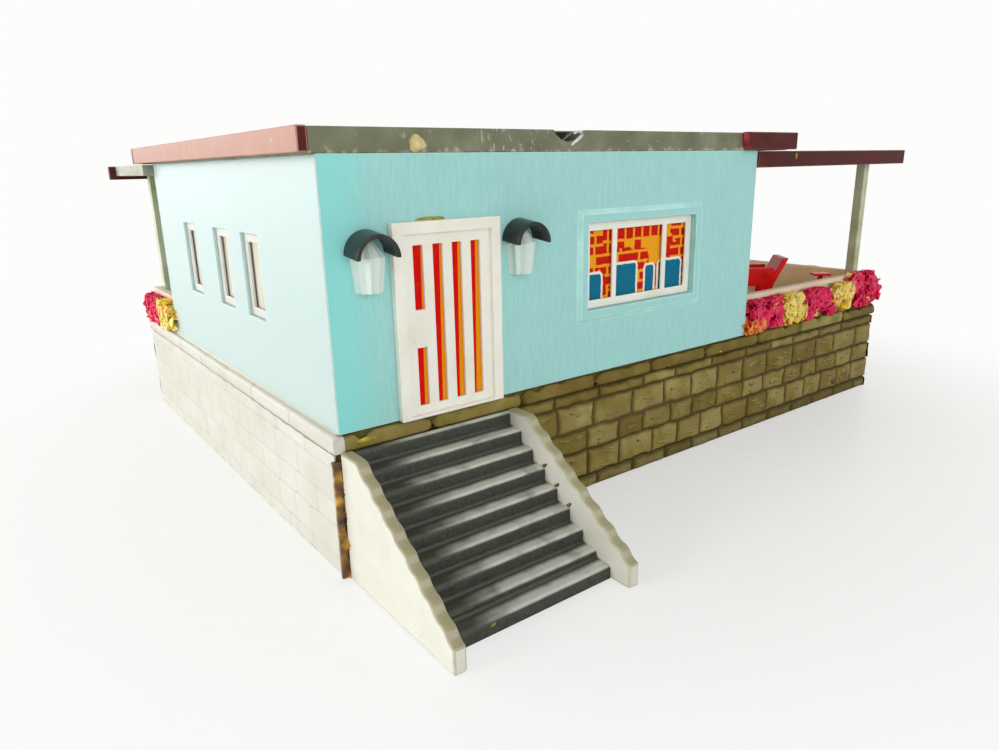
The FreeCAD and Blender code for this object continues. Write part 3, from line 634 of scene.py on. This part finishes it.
bpy.data.objects["roof_plate_moulding"].data.materials.append(brokenRoof)
roofFront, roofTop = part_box("roof_plate")[0].y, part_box("roof_plate")[1].z
for face in mouldingFaces("roof_plate"):  # the faces inside the chip
    across = (face.center.x - wallLeft) / mm
    inside = (face.center.y - roofFront) / mm
    if roofChip["left"] < across < roofChip["right"] and 0.1 < inside < roofChip["deepMm"]:
        if roofLow + 0.05 * mm < face.center.z < roofTop - 0.05 * mm:
            face.material_index = 1
for node in frame["nodes"]:  # left faces: a paler red on the left fascia and the front fascia's broken end, painted light; a darker ivory on the side window frames, painted shade
    if node.startswith(("roof_fascia_left", "roof_fascia_front", "side_window_frame")):
        for face in mouldingFaces(node):
            if face.normal.x < -0.5:
                face.material_index = 1
for side, along in sideAlong.items():  # the inside of the parapet takes the peach copy, a painted glow
    for face in mouldingFaces("parapet_" + side):
        face.material_index = 1 if face.normal.dot((along[1], -along[0], 0)) > -0.5 else 0
for face in mouldingFaces("house_wall_front"):  # the window surround's sloping edges take the paler turquoise, a painted highlight
    if 0.2 < -face.normal.y < 0.95:
        face.material_index = 1
print("mouldings softened")

# Flat sheets and lamp glasses keep their solids and only take a finish
sheets = {
    "door_curtain": doorFoil,
    "front_window_curtain": mosaicCard,
    ("back_window_curtain", "terrace_door_curtain", "side_window_curtain"): foldedCard,
    "lamp_glass": lampClear,
}
for node, solid in frame["nodes"].items():
    for start, material in sheets.items():
        if node.startswith(start):
            solid.data.materials.clear()
            solid.data.materials.append(material)

pane = {"gapMm": 0.08}  # how much smaller than its solid, so that it lies free of the printed sheet


def addPane(node):
    low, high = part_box(node)
    bm = bmesh.new()
    bmesh.ops.create_cube(bm, size=1)
    for vert in bm.verts:
        vert.co = Vector([
            (a + b) / 2 + side * (b - a - pane["gapMm"] * mm) for a, b, side in zip(low, high, vert.co)
        ])
    standFor(node, "_cast", bm, [clearSheet])


for node in sorted(frame["nodes"]):
    if "_pane" in node:
        addPane(node)
print("sheets finished")


# Stone relief on the base

def sideOf(box, side):  # a function of mm along a side, up and outward from its foot, and the side's length
    low, high = box
    corner = {
        "front": (low.x, low.y), "right": (high.x, low.y), "back": (high.x, high.y), "left": (low.x, high.y),
    }[side]
    along = Vector(sideAlong[side])
    out = Vector((along.y, -along.x, 0))
    length = abs((high - low).dot(along)) / mm

    def place(u, v, w):
        return Vector((corner[0], corner[1], low.z)) + (along * u + out * w + Vector((0, 0, v))) * mm

    return place, length


def steps(start, end, edge, cell):  # stations from start to end, close together near both ends
    inner = max(1, round((end - start - 2 * edge) / cell))
    middle = [start + edge + (end - start - 2 * edge) * i / inner for i in range(inner + 1)]
    return [start, start + edge * 0.4] + middle + [end - edge * 0.4, end]


def stoneLayers(bm):
    return bm.verts.layers.float.new("tint"), bm.verts.layers.float.new("grime")


def stoneVert(bm, layers, point, tint, grime):
    vert = bm.verts.new(point)
    vert[layers[0]] = tint
    vert[layers[1]] = grime
    return vert


plinth = {
    "coursesMm": [(2.2, 7.6), (4.5, 6.8), (3.65, 6.9), (4.5, 8.4), (1.95, 9.2)],  # height, block length
    "firstShares": (0.95, 0.5),  # the first block of a course, in turn
    "shortShare": 0.45,  # a shorter rest joins the block before it
    "footSoil": 0.55,  # the lowest course is the dirtiest
    "mortarMm": 0.26,
    "reliefMm": 0.48,
    "thickMm": 1.8,
    "edgeMm": 0.6,  # how far a block's rounded edge runs in
    "cellMm": 0.8,
    "shiftMm": 1.3,  # how uneven the upright joints are
    "sinkMm": 0.08,  # how far a block may lie back
    "outlineMm": 0.34,
    "bendPerMm": 0.45,
    "swayPerMm": 0.4,
    "faceMm": 0.2,
    "lumpPerMm": 0.9,
    "gritPerMm": 2.3,
    "wornSides": {"left": 0.85},  # how much of the relief the weather took
}
chisel = {
    "marks": (2, 4),
    "blockMm": 2.5,  # lower blocks have no marks
    "lengthMm": (1.2, 2.8),
    "widthMm": (0.2, 0.34),
    "lean": (-0.15, 0.3),
    "marginMm": 0.8,
    "footMm": -0.15,
    "crestMm": (0.24, 0.32),
}


def addBlock(bm, place, layers, patch, draw, soil, worn):
    u0, u1, v0, v1 = patch
    tint = draw.uniform(-1, 1)
    lift = draw.uniform(-plinth["sinkMm"], 0.0)
    edge = min(plinth["edgeMm"], (v1 - v0) / 3)
    rows = []
    for v in steps(v0, v1, edge, plinth["cellMm"]):
        row = []
        for u in steps(u0, u1, edge, plinth["cellMm"]):
            inset = min(u - u0, u1 - u, v - v0, v1 - v)
            rise = math.sin(min(1.0, inset / edge) * math.pi / 2)
            spot = place(u, v, 0) / mm
            bend = noise.noise(spot * plinth["bendPerMm"]) * plinth["outlineMm"]
            sway = noise.noise(spot * plinth["swayPerMm"] + Vector((31, 7, 5))) * plinth["outlineMm"]
            bumps = noise.noise(spot * plinth["lumpPerMm"]) * plinth["faceMm"]
            bumps += noise.noise(spot * plinth["gritPerMm"]) * plinth["faceMm"] * 0.5
            height = ((rise - 1) * plinth["reliefMm"] + (lift + bumps) * rise) * (1 - worn)
            point = place(u + bend, max(0.0, v + sway), height)
            row.append(stoneVert(bm, layers, point, tint, 1 - rise + soil))
        rows.append(row)
    skin(bm, rows)
    if v1 - v0 > chisel["blockMm"] and not worn:
        for mark in range(draw.randint(*chisel["marks"])):
            addChisel(bm, place, layers, tint, patch, draw)


def addChisel(bm, place, layers, tint, patch, draw):  # a short ridge that a mason's chisel would leave
    u0, u1, v0, v1 = patch
    length = min(draw.uniform(*chisel["lengthMm"]), (u1 - u0) * 0.4)
    margin = chisel["marginMm"] + length / 2
    u = draw.uniform(u0 + margin, max(u0 + margin + 0.1, u1 - margin))
    v = draw.uniform(v0 + chisel["marginMm"], v1 - chisel["marginMm"])
    lean = draw.uniform(*chisel["lean"])
    width = draw.uniform(*chisel["widthMm"])
    foot = chisel["footMm"]
    left, right = chisel["crestMm"]
    points = [
        (-length / 2, -width, foot), (length / 2, -width * 0.6, foot), (length / 2, width * 0.6, foot),
        (-length / 2, width, foot), (-length * 0.4, width * 0.3, left), (length * 0.4, width * 0.2, right),
    ]
    verts = []
    for du, dv, w in points:  # painted highlight above and painted shadow below
        tone, grime = (tint + 1.4, 0.0) if dv > 0 else (tint, 2.0)
        verts.append(stoneVert(bm, layers, place(u + du, v + dv + du * lean, w), tone, grime))
    a, b, c, d, crestLeft, crestRight = verts
    for corners in [
        (a, b, crestRight, crestLeft), (b, c, crestRight), (c, d, crestLeft, crestRight), (d, a, crestLeft),
    ]:
        bm.faces.new(corners)


def addPlate(bm, layers, corners, grime):  # closed prism from a lower and an upper ring of corners
    half = len(corners) // 2
    verts = [stoneVert(bm, layers, corner, 0.0, grime) for corner in corners]
    for i in range(half):
        j = (i + 1) % half
        bm.faces.new((verts[i], verts[j], verts[half + j], verts[half + i]))
    bm.faces.new(verts[:half][::-1])
    bm.faces.new(verts[half:])


def addPlinth(side, material, seed):
    node = "plinth_" + side
    low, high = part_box(node)
    place, length = sideOf((low, high), side)
    height = (high.z - low.z) / mm
    thick = plinth["reliefMm"] + plinth["thickMm"]
    draw = random.Random(seed)
    bm = bmesh.new()
    layers = stoneLayers(bm)
    worn = plinth["wornSides"].get(side, 0.0)
    relief = plinth["reliefMm"] * (1 - worn)
    addPlate(bm, layers, [
        place(u, v, -w)
        for v in (0, height)
        for u, w in ((0, relief), (length, relief), (length - thick, thick + relief), (thick, thick + relief))
    ], 1.0)
    half = plinth["mortarMm"] / 2 * (1 - worn)
    floor = 0.0
    for course, (rise, usual) in enumerate(plinth["coursesMm"]):
        reach = relief if (course + seed) % 2 else 0.0  # every other course turns the corner
        joint = -reach
        first = usual * plinth["firstShares"][course % 2]
        while joint < length + reach - 0.1:
            after = joint + ((first if joint == -reach else usual) + draw.uniform(-1, 1) * plinth["shiftMm"])
            if length + reach - after < usual * plinth["shortShare"]:
                after = length + reach
            foot, soil = (floor + half, 0.0) if course else (0.0, plinth["footSoil"])
            patch = (joint + half, after - half, foot, floor + rise - half)
            addBlock(bm, place, layers, patch, draw, soil, worn)
            joint = after
        floor += rise
    for face in bm.faces:
        face.smooth = len(face.verts) == 4
    standFor(node, "_stones", bm, [material])


for seed, side in enumerate(sideAlong):
    addPlinth(side, paleStone if side == "left" else oliveStone, seed)
print("plinth laid")

coping = {
    "stoneMm": 14.5,
    "shiftMm": 1.6,
    "jointMm": 0.06,  # how far a stone ends before its joint
    "backMm": 1.6,  # how far the stones reach back under the wall
    "setbackMm": 0.9,  # how far the slab behind them stands back
    "dropMm": (0.04, 0.5),  # how far a stone's worn top edge lies below the slab
    "endMm": 0.9,
    "gapMm": 0.3,
    "cellMm": 0.7,
    "chipMm": 0.55,
    "chipPerMm": 0.42,
    "waveMm": 0.07,
    "wavePerMm": 1.3,
    "paleMm": 1.5,  # how far the bleached left side reaches in
    "floorArea": 0.001,  # in square metres: a larger face on top is the floor
}


def addCopingStone(bm, place, layers, u0, u1, height, worn, draw):
    tint = draw.uniform(-1, 1)
    drop = draw.uniform(*coping["dropMm"]) * (1 - worn)
    back = -coping["backMm"]
    rings = []
    for u in steps(u0, u1, coping["endMm"], coping["cellMm"]):
        inset = min(1.0, min(u - u0, u1 - u) / coping["endMm"])
        end = (1 - math.sin(inset * math.pi / 2)) * (1 - worn)  # 1 at the stone's ends, 0 along it
        spot = place(u, 0, 0) / mm
        chip = max(0.0, noise.noise(spot * coping["chipPerMm"]) - 0.1) * coping["chipMm"] * 3 * (1 - worn)
        wave = noise.noise(spot * coping["wavePerMm"] + Vector((3, 9, 1))) * coping["waveMm"]
        top = height - drop - end * 0.9 - chip
        front = -end * 0.6 + wave
        foot = coping["gapMm"] + end * 0.15 + max(0.0, -wave)
        profile = [
            (back, top), (front - 0.55, top), (front - 0.2, top - 0.06), (front - 0.04, top - 0.3),
            (front, top - 0.7), (front + wave, (top + foot) / 2), (front - 0.03, foot + 0.45),
            (front - 0.2, foot + 0.1), (back, foot),
        ]
        grime = [0.9] + [0.75 * end] * 6 + [0.75 * end + 0.35, 0.9]  # for each point of the profile
        rings.append([
            stoneVert(bm, layers, place(u, v, w), tint, dirt) for (w, v), dirt in zip(profile, grime)
        ])
    for here, there in zip(rings, rings[1:]):
        for i in range(len(here)):
            j = (i + 1) % len(here)
            bm.faces.new((here[j], there[j], there[i], here[i]))
    bm.faces.new(rings[0])
    bm.faces.new(rings[-1][::-1])


def addSlab():
    low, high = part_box("base_slab")
    height = (high.z - low.z) / mm
    bm = bmesh.new()
    layers = stoneLayers(bm)
    inset = coping["setbackMm"] * mm
    ring = [
        (low.x + inset, low.y + inset), (high.x - inset, low.y + inset),
        (high.x - inset, high.y - inset), (low.x + inset, high.y - inset),
    ]
    addPlate(bm, layers, [Vector((x, y, z)) for z in (low.z, high.z) for x, y in ring], 0.9)
    draw = random.Random(12)
    for side in sideAlong:
        place, length = sideOf((low, high), side)
        count = round(length / coping["stoneMm"])
        joints = [0.0]
        for number in range(1, count):
            joints.append(length * number / count + draw.uniform(-1, 1) * coping["shiftMm"])
        joints.append(length)
        worn = plinth["wornSides"].get(side, 0.0)
        gap = coping["jointMm"]
        for u0, u1 in zip(joints, joints[1:]):
            addCopingStone(bm, place, layers, u0 + gap, u1 - gap, height, worn, draw)
    bm.normal_update()
    for face in bm.faces:
        face.smooth = len(face.verts) == 4
        face.material_index = 1 if face.calc_center_median().x < low.x + coping["paleMm"] * mm else 0
        if face.normal.z > 0.9 and face.calc_area() > coping["floorArea"]:
            face.material_index = 2
    standFor("base_slab", "_coping", bm, [oliveStone, paleStone, pavingStone])


addSlab()
print("coping laid")


# Flowers: frilled clumps along the parapets

flowers = {
    "crimson": ["#C80038", "#F00850", "#FF5A90"],  # heart, petal, tip
    "yellow": ["#FFC41C", "#FFE044", "#FFF4B4"],
    "orange": ["#F0401A", "#FA7E2A", "#FFC874"],
    "rings": 9,
    "spokes": 18,
    "lobes": 10,
    "lobeHeights": (0.18, 0.38, 0.58, 0.78, 0.9),
    "lobePetals": (9, 14),
    "petalMm": (1.5, 2.7),
    "petalRows": (0.0, 0.3, 0.58, 0.82, 1.0),
    "petalColumns": 8,
    "ruffle": 0.22,
    "curl": 0.4,
    "waves": (1.2, 2.2),
    "crumpleMm": 0.22,
    "crumplePerMm": 1.1,
    "crumpleSeed": 1,  # unset, the noise would start from the clock
    "turns": ["crimson", "yellow"],
    "strayShare": 0.06,  # petals of another colour
}


def shadesOf(kind):
    return [Vector(linear(shade)) for shade in flowers[kind]]


def addPetal(bm, colourLayer, root, outward, shades, size, ceiling, draw):
    across = outward.orthogonal()
    across.rotate(Matrix.Rotation(draw.uniform(0, 2 * math.pi), 3, outward))
    face = across.cross(outward)
    phase = draw.uniform(0, 6.28)
    curl = draw.uniform(-flowers["curl"], flowers["curl"])
    waves = draw.uniform(*flowers["waves"])
    rows = []
    for t in flowers["petalRows"]:
        spread = size * (0.2 + 0.46 * math.sin(math.pi * (0.1 + 0.6 * t)))
        colour = shades[0].lerp(shades[1], min(1.0, t * 1.8)).lerp(shades[2], max(0.0, t - 0.6) * 1.6)
        row = []
        for number in range(flowers["petalColumns"]):
            s = number / ((flowers["petalColumns"] - 1) / 2) - 1
            ruffle = math.sin(waves * math.pi * s + phase) * flowers["ruffle"] * t * size
            reach = size * (t - 0.2 * s * s * t)
            lift = face * (ruffle + curl * t * t * size)
            point = root + (across * s * spread + outward * reach + lift) * mm
            crumple = noise.noise_vector(point / mm * flowers["crumplePerMm"])
            point += crumple * flowers["crumpleMm"] * t * mm
            point.z = min(point.z, ceiling + 0.15 * (point.z - ceiling))
            vert = bm.verts.new(point)
            vert[colourLayer] = colour
            row.append(vert)
        rows.append(row)
    skin(bm, rows)


def addClump(bm, colourLayer, place, u, half, depth, height, ceiling, kind, under, draw):
    wall = -depth
    heart, petal, tip = shadesOf(kind)
    core = []
    for ring in range(flowers["rings"]):
        tilt = math.pi * (ring / (flowers["rings"] - 1) - 0.5)
        line = []
        for spoke in range(flowers["spokes"] + 1):
            turn = math.pi * spoke / flowers["spokes"]
            bulge = Vector((math.cos(turn) * math.cos(tilt), math.sin(turn) * math.cos(tilt), math.sin(tilt)))
            lump = 0.8 + 0.3 * noise.noise(bulge * 2.6 + Vector((u, half, 3)))
            x, y, z = bulge * lump
            vert = bm.verts.new(place(u + x * half, height * (0.5 + 0.5 * z), wall + y * depth))
            vert[colourLayer] = heart.lerp(petal, 0.4)
            line.append(vert)
        core.append(line)
    skin(bm, core)
    for lobe in range(flowers["lobes"]):
        column = (lobe + 0.5) / flowers["lobes"] * 2 - 1
        middle = (
            u + half * (0.95 * column + draw.uniform(-0.15, 0.15)),
            height * draw.choice(flowers["lobeHeights"]),
            wall + depth * draw.uniform(0.3, 0.6),
        )
        tone = draw.uniform(-0.3, 0.5)
        for number in range(draw.randint(*flowers["lobePetals"])):
            spread = Vector((draw.gauss(0, 0.8), draw.gauss(0.1, 0.7), draw.uniform(0.1, 1.2)))
            outward = (place(*spread) - place(0, 0, 0)).normalized()
            shades = [heart.lerp(petal, 0.5 + tone), petal.lerp(tip, max(0.0, tone)), petal.lerp(tip, 0.7)]
            if draw.random() < flowers["strayShare"]:
                shades = shadesOf(draw.choice(["orange", "yellow", "crimson"]))
            if under and column < -0.3 and middle[1] < height * 0.5:  # the first clump is orange below
                shades = shadesOf("orange")
            size = draw.uniform(*flowers["petalMm"])
            addPetal(bm, colourLayer, place(*middle), outward, shades, size, ceiling, draw)


def clumpsOf(node):  # each clump of the row as its solid's corners
    solid = bmesh.new()
    solid.from_mesh(frame["nodes"][node].data)
    bmesh.ops.remove_doubles(solid, verts=solid.verts, dist=0.001 * mm)
    clumps = []
    waiting = set(solid.verts)
    while waiting:
        stack = [waiting.pop()]
        island = []
        while stack:
            vert = stack.pop()
            island.append(vert.co.copy())
            for edge in vert.link_edges:
                other = edge.other_vert(vert)
                if other in waiting:
                    waiting.remove(other)
                    stack.append(other)
        clumps.append(island)
    solid.free()
    return clumps


def addFlowers(side, seed):
    node = "flowers_" + side
    low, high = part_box(node)
    place = sideOf((low, high), side)[0]
    origin = place(0, 0, 0)
    along = (place(1, 0, 0) - origin) / mm
    out = (place(0, 0, 1) - origin) / mm
    reaches = [[(co - origin).dot(along) / mm for co in island] for island in clumpsOf(node)]
    spans = sorted((min(reach), max(reach)) for reach in reaches)
    across = abs((high - low).dot(Vector((along.y, -along.x, 0)))) / mm
    draw = random.Random(40 + seed)
    bm = bmesh.new()
    colourLayer = bm.verts.layers.float_color.new("petalColour")
    for number, (u0, u1) in enumerate(spans):
        kind = flowers["turns"][number % len(flowers["turns"])]
        corner = side == "front" and number == len(spans) - 1  # this clump grows over the rail
        tall = (high.z - low.z) / mm * (1.3 if corner else draw.uniform(0.94, 1.0))
        ceiling = high.z + (2.0 if corner else 0.35 if side in ("front", "left") else 1.0) * mm
        under = side == "front" and number == 0
        middle, half = (u0 + u1) / 2, (u1 - u0) / 2
        addClump(bm, colourLayer, place, middle, half, across, tall, ceiling, kind, under, draw)
    for vert in bm.verts:  # no petal stands out further than the solid clumps
        beyond = (vert.co - origin).dot(out)
        vert.co -= out * max(0.0, beyond) * 0.9
        vert.co.z = max(vert.co.z, low.z)
    for face in bm.faces:
        face.smooth = True
    standFor(node, "_petals", bm, [flowerVinyl])


noise.seed_set(flowers["crumpleSeed"])
for seed, side in enumerate(sideAlong):
    addFlowers(side, seed)
print("flowers planted")


# Dried glue, scratches and broken spots

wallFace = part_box("house_wall_left")[0].y  # the front wall's outer face, without the window surround
slabLow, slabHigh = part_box("base_slab")
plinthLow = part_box("plinth_front")[0]
fasciaLow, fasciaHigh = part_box("terrace_fascia_front")
cheekLow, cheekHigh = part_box("stair_cheek_right")
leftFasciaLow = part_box("roof_fascia_left")[0]
corners = {  # side, body and place
    "door": ("front", "house", (doorLow.x, wallFace, doorHigh.z)),
    "roof": ("front", "roof", (wallLeft, roofFront, roofLow)),
    "coping": ("front", "house", (wallLeft, slabLow.y, slabHigh.z)),
    "strip": ("front", "house", (fasciaLow.x, fasciaLow.y, fasciaHigh.z)),
    "stair": ("front", "house", (wallLeft, stairLow.y, stairLow.z)),
    "plinth": ("front", "house", (wallLeft, plinthLow.y, plinthLow.z)),
    "cheek": ("left", "house", (cheekLow.x, cheekHigh.y, cheekLow.z)),
    # the left fascia, whose left faces take the paler red, painted light
    "faded": ("left", "roof", (leftFasciaLow.x, leftFasciaLow.y, roofLow)),
}
spots = {  # material, corner, mm along and up from it, lean in degrees, half sizes and thickness in mm, slot
    "glue_door_head": (mustardGlue, "door", (6.2, 0.0), 0, (2.6, 0.55, 0.35), "ivory_frame"),
    "glue_roof_edge": (creamGlue, "roof", (13.2, 1.1), 0, (1.5, 1.1, 0.4), "roof_grey"),
    "rim_under_chip": (stressWhite, "roof", (39.3, 1.5), 32, (1.7, 0.26, 0.14), "roof_grey"),
    "glue_beside_door": (mustardGlue, "coping", (3.6, -1.3), 0, (1.5, 0.45, 0.1), "base_stone"),
    "glue_terrace_strip": (mustardGlue, "strip", (11.6, -0.9), 0, (0.3, 0.7, 0.12), "fascia_red"),
    "glue_coping_speck": (mustardGlue, "coping", (75.0, -1.9), 0, (0.4, 0.25, 0.15), "base_stone"),
    "glue_low_step": (mustardGlue, "stair", (7.3, 1.3), 20, (0.45, 0.22, 0.12), "stair_charcoal"),
    "broken_block_low": (rustStone, "plinth", (121.6, 4.2), 15, (2.6, 1.5, 0.4), "base_stone"),
    "broken_block_side": (rustStone, "plinth", (117.2, 3.9), -10, (1.6, 0.9, 0.3), "base_stone"),
}
for number, spot in enumerate([(8.2, 11.3), (10.7, 9.25), (13.2, 7.25)]):
    spots["glue_step_end.%d" % number] = (ochreGlue, "cheek", spot, 38, (0.8, 0.3, 0.2), "cheek_stone")
scratches = [((-42.2, 1.9), 84), ((-24.9, 1.5), -52), ((-7.5, 1.6), 30), ((-31.0, 1.2), 75)]
for number, (spot, lean) in enumerate(scratches):
    name = "scratch_faded_strip.%d" % number
    spots[name] = (scratchedRed, "faded", spot, lean, (0.9, 0.1, 0.04), "fascia_red")
blob = {"spokes": 24, "wobble": (0.65, 1.1), "rings": (0.35, 0.62, 0.85, 1.0), "sinkMm": 0.05}


def addBlob(name, material, centre, along, out, sizeMm, body, slot, seed):
    up = out.cross(along)
    draw = random.Random(seed)
    spokes = blob["spokes"]
    wide, high, thick = sizeMm
    wobble = [draw.uniform(*blob["wobble"]) for spoke in range(spokes)]
    bm = bmesh.new()
    crown = bm.verts.new(centre + out * thick * mm)
    rings = []
    for share in blob["rings"]:
        swell = math.sqrt(max(0.0, 1 - share ** 2)) * thick - (blob["sinkMm"] if share == 1.0 else 0.0)
        ring = []
        for spoke in range(spokes):
            turn = 2 * math.pi * spoke / spokes
            reach = share * (
                wobble[spoke] * 0.5 + wobble[spoke - 1] * 0.25 + wobble[(spoke + 1) % spokes] * 0.25
            )
            offset = along * math.cos(turn) * reach * wide + up * math.sin(turn) * reach * high + out * swell
            ring.append(bm.verts.new(centre + offset * mm))
        rings.append(ring)
    for spoke in range(spokes):
        after = (spoke + 1) % spokes
        bm.faces.new((crown, rings[0][spoke], rings[0][after]))
        for inner, outer in zip(rings, rings[1:]):
            bm.faces.new((inner[spoke], outer[spoke], outer[after], inner[after]))
    bmesh.ops.recalc_face_normals(bm, faces=bm.faces)
    for face in bm.faces:
        face.smooth = True
    addPiece(name, bm, [material], body, slot)


for seed, (name, (material, corner, (u, v), lean, sizeMm, slot)) in enumerate(spots.items()):
    side, body, place = corners[corner]
    along = Vector(sideAlong[side])
    out = Vector((along.y, -along.x, 0))
    centre = Vector(place) + (along * u + Vector((0, 0, v))) * mm
    along.rotate(Matrix.Rotation(math.radians(lean), 3, out))
    addBlob(name, material, centre, along, out, sizeMm, body, slot, seed + 3)

seam = {"heightMm": 16.2, "leftMm": -1.08, "cheekMm": -0.15, "thickMm": 0.2, "rows": 120, "filmMm": 0.45}


def addSeam():  # ragged brown glue that fills the corner between the plinth and the left cheek
    bm = bmesh.new()
    right = seam["cheekMm"]
    rows = []
    for step in range(seam["rows"] + 1):
        rise = seam["heightMm"] * step / seam["rows"]
        spot = Vector((0, 0, rise))
        left = seam["leftMm"] + 0.12 * noise.noise(spot * 0.9)
        ragged = noise.noise(spot * 0.5 + Vector((5, 0, 0)))
        ragged += 0.7 * noise.noise(spot * 1.9) + 0.4 * noise.noise(spot * 4.7)
        film = max(0.05, seam["filmMm"] * (1 + 2.2 * ragged))
        swell = seam["thickMm"] * (0.6 + 0.5 * noise.noise(spot * 1.1 + Vector((0, 8, 0))))
        outline = [
            (left, -0.4), (left, swell * 0.4), ((left + right) / 2, swell), (right - 0.14, swell + 0.05),
            (right - 0.06, film), (right + 0.04, film), (right + 0.04, -0.4),
        ]
        rows.append([
            bm.verts.new(Vector((wallLeft + across * mm, plinthLow.y - out * mm, rise * mm)))
            for across, out in outline
        ])
    skin(bm, rows)
    bm.faces.new(rows[0])
    bm.faces.new(rows[-1][::-1])
    bmesh.ops.recalc_face_normals(bm, faces=bm.faces)
    addPiece("glue_corner_seam", bm, [ochreGlue], "house", "base_stone")


addSeam()
print("glue dried")


# Floor, light and camera

stage = {
    "floorM": 12.0, "dropMm": 0.02, "nearM": 0.05, "farM": 0.14, "whiteShare": 0.5, "speckMm": 3,
    "paper": [(0.3, "#ECECE5"), (0.7, "#F0F0EB")], "white": "#FDFDFC",
}


def paperFloor(tree, place, look):
    # satin white card: keeps the model's shadow close by and fades to the white background further out
    paper = rampOf(tree, noiseOf(tree, place, look["speckMm"], 3), look["paper"])
    away = maths(tree, "LENGTH", place, kind="VectorMath")
    fade = remap(tree, away, look["nearM"], look["farM"], look["whiteShare"], 1.0, "SMOOTHSTEP")
    seen = addNode(tree, "LightPath", {}).outputs["Is Camera Ray"]
    white = addNode(tree, "Emission", {"Color": linear(look["white"]), "Strength": 1.0}).outputs["Emission"]
    share = maths(tree, "MULTIPLY", fade, seen)
    return {"Base Color": paper, "Roughness": 0.38, "IOR": 1.45, "mixed": (share, white)}


floorMesh = bpy.data.meshes.new("floor")
half = stage["floorM"] / 2
square = [(-half, -half, 0), (half, -half, 0), (half, half, 0), (-half, half, 0)]
floorMesh.from_pydata(square, [], [(0, 1, 2, 3)])
floorMesh.materials.append(makeMaterial("whiteCardFloor", paperFloor, stage))
floor = bpy.data.objects.new("floor", floorMesh)
floor.location.z = -stage["dropMm"] * mm
bpy.context.scene.collection.objects.link(floor)

world = bpy.data.worlds.new("studio")
bpy.context.scene.world = world
world.use_nodes = True
light = {"horizon": 0.86, "zenith": 0.46, "white": 1.0}  # a white room with a dimmer ceiling
sky = world.node_tree
seen = addNode(sky, "LightPath", {}).outputs
mirrored = maths(sky, "MAXIMUM", seen["Is Camera Ray"], seen["Is Glossy Ray"])
mirrored = maths(sky, "MAXIMUM", mirrored, seen["Is Transmission Ray"])
heading = axesOf(sky, addNode(sky, "TexCoord", {}).outputs["Generated"])
room = remap(sky, heading["Z"], 0.0, 0.9, light["horizon"], light["zenith"])
strength = addNode(sky, "Mix", {"data_type": "FLOAT", 0: mirrored, 2: room, 3: light["white"]}).outputs[0]
setSockets(sky, sky.nodes["Background"], {"Color": linear(stage["white"]), "Strength": strength})

lamps = {  # place in metres, size in metres, power in watts
    "windowLight": {"place": (-1.40, 0.22, 0.50), "sizeM": 0.5, "power": 9.5},
    "backWindowLight": {"place": (-0.75, 1.25, 0.36), "sizeM": 0.6, "power": 9.0},
    "frontFill": {"place": (-0.25, -1.7, 0.42), "sizeM": 1.2, "power": 10.5},
}
for name, lamp in lamps.items():
    data = bpy.data.lights.new(name, "AREA")
    data.shape = "SQUARE"
    data.size = lamp["sizeM"]
    data.energy = lamp["power"]
    holder = bpy.data.objects.new(name, data)
    holder.location = lamp["place"]
    holder.rotation_euler = (-Vector(lamp["place"])).to_track_quat("-Z", "Y").to_euler()
    bpy.context.scene.collection.objects.link(holder)

view = {  # fitted to the model's straight edges in the photograph
    "place": (-0.10009485, -0.11919629, 0.05096929),
    "azimuth": 36.62,
    "pitch": 16.11,
    "roll": -1.20,
    "focalPixels": 722.7,
    "imageWidth": 999,
    "sensorMm": 36,
    "nearM": 0.005,
}
azimuth, pitch, roll = [math.radians(view[name]) for name in ("azimuth", "pitch", "roll")]
ahead = Vector((math.sin(azimuth) * math.cos(pitch), math.cos(azimuth) * math.cos(pitch), -math.sin(pitch)))
level = Vector((math.cos(azimuth), -math.sin(azimuth), 0))
upright = level.cross(ahead)
right = level * math.cos(roll) + upright * math.sin(roll)
up = upright * math.cos(roll) - level * math.sin(roll)
camera = bpy.data.objects.new("camera", bpy.data.cameras.new("camera"))
camera.data.sensor_width = view["sensorMm"]
camera.data.lens = view["focalPixels"] / view["imageWidth"] * view["sensorMm"]
camera.data.clip_start = view["nearM"]
turn = Matrix((right, up, -ahead)).transposed().to_4x4()
camera.matrix_world = Matrix.Translation(view["place"]) @ turn
bpy.context.scene.collection.objects.link(camera)
bpy.context.scene.camera = camera
bpy.context.scene.view_settings.view_transform = "Standard"
print("stage set")
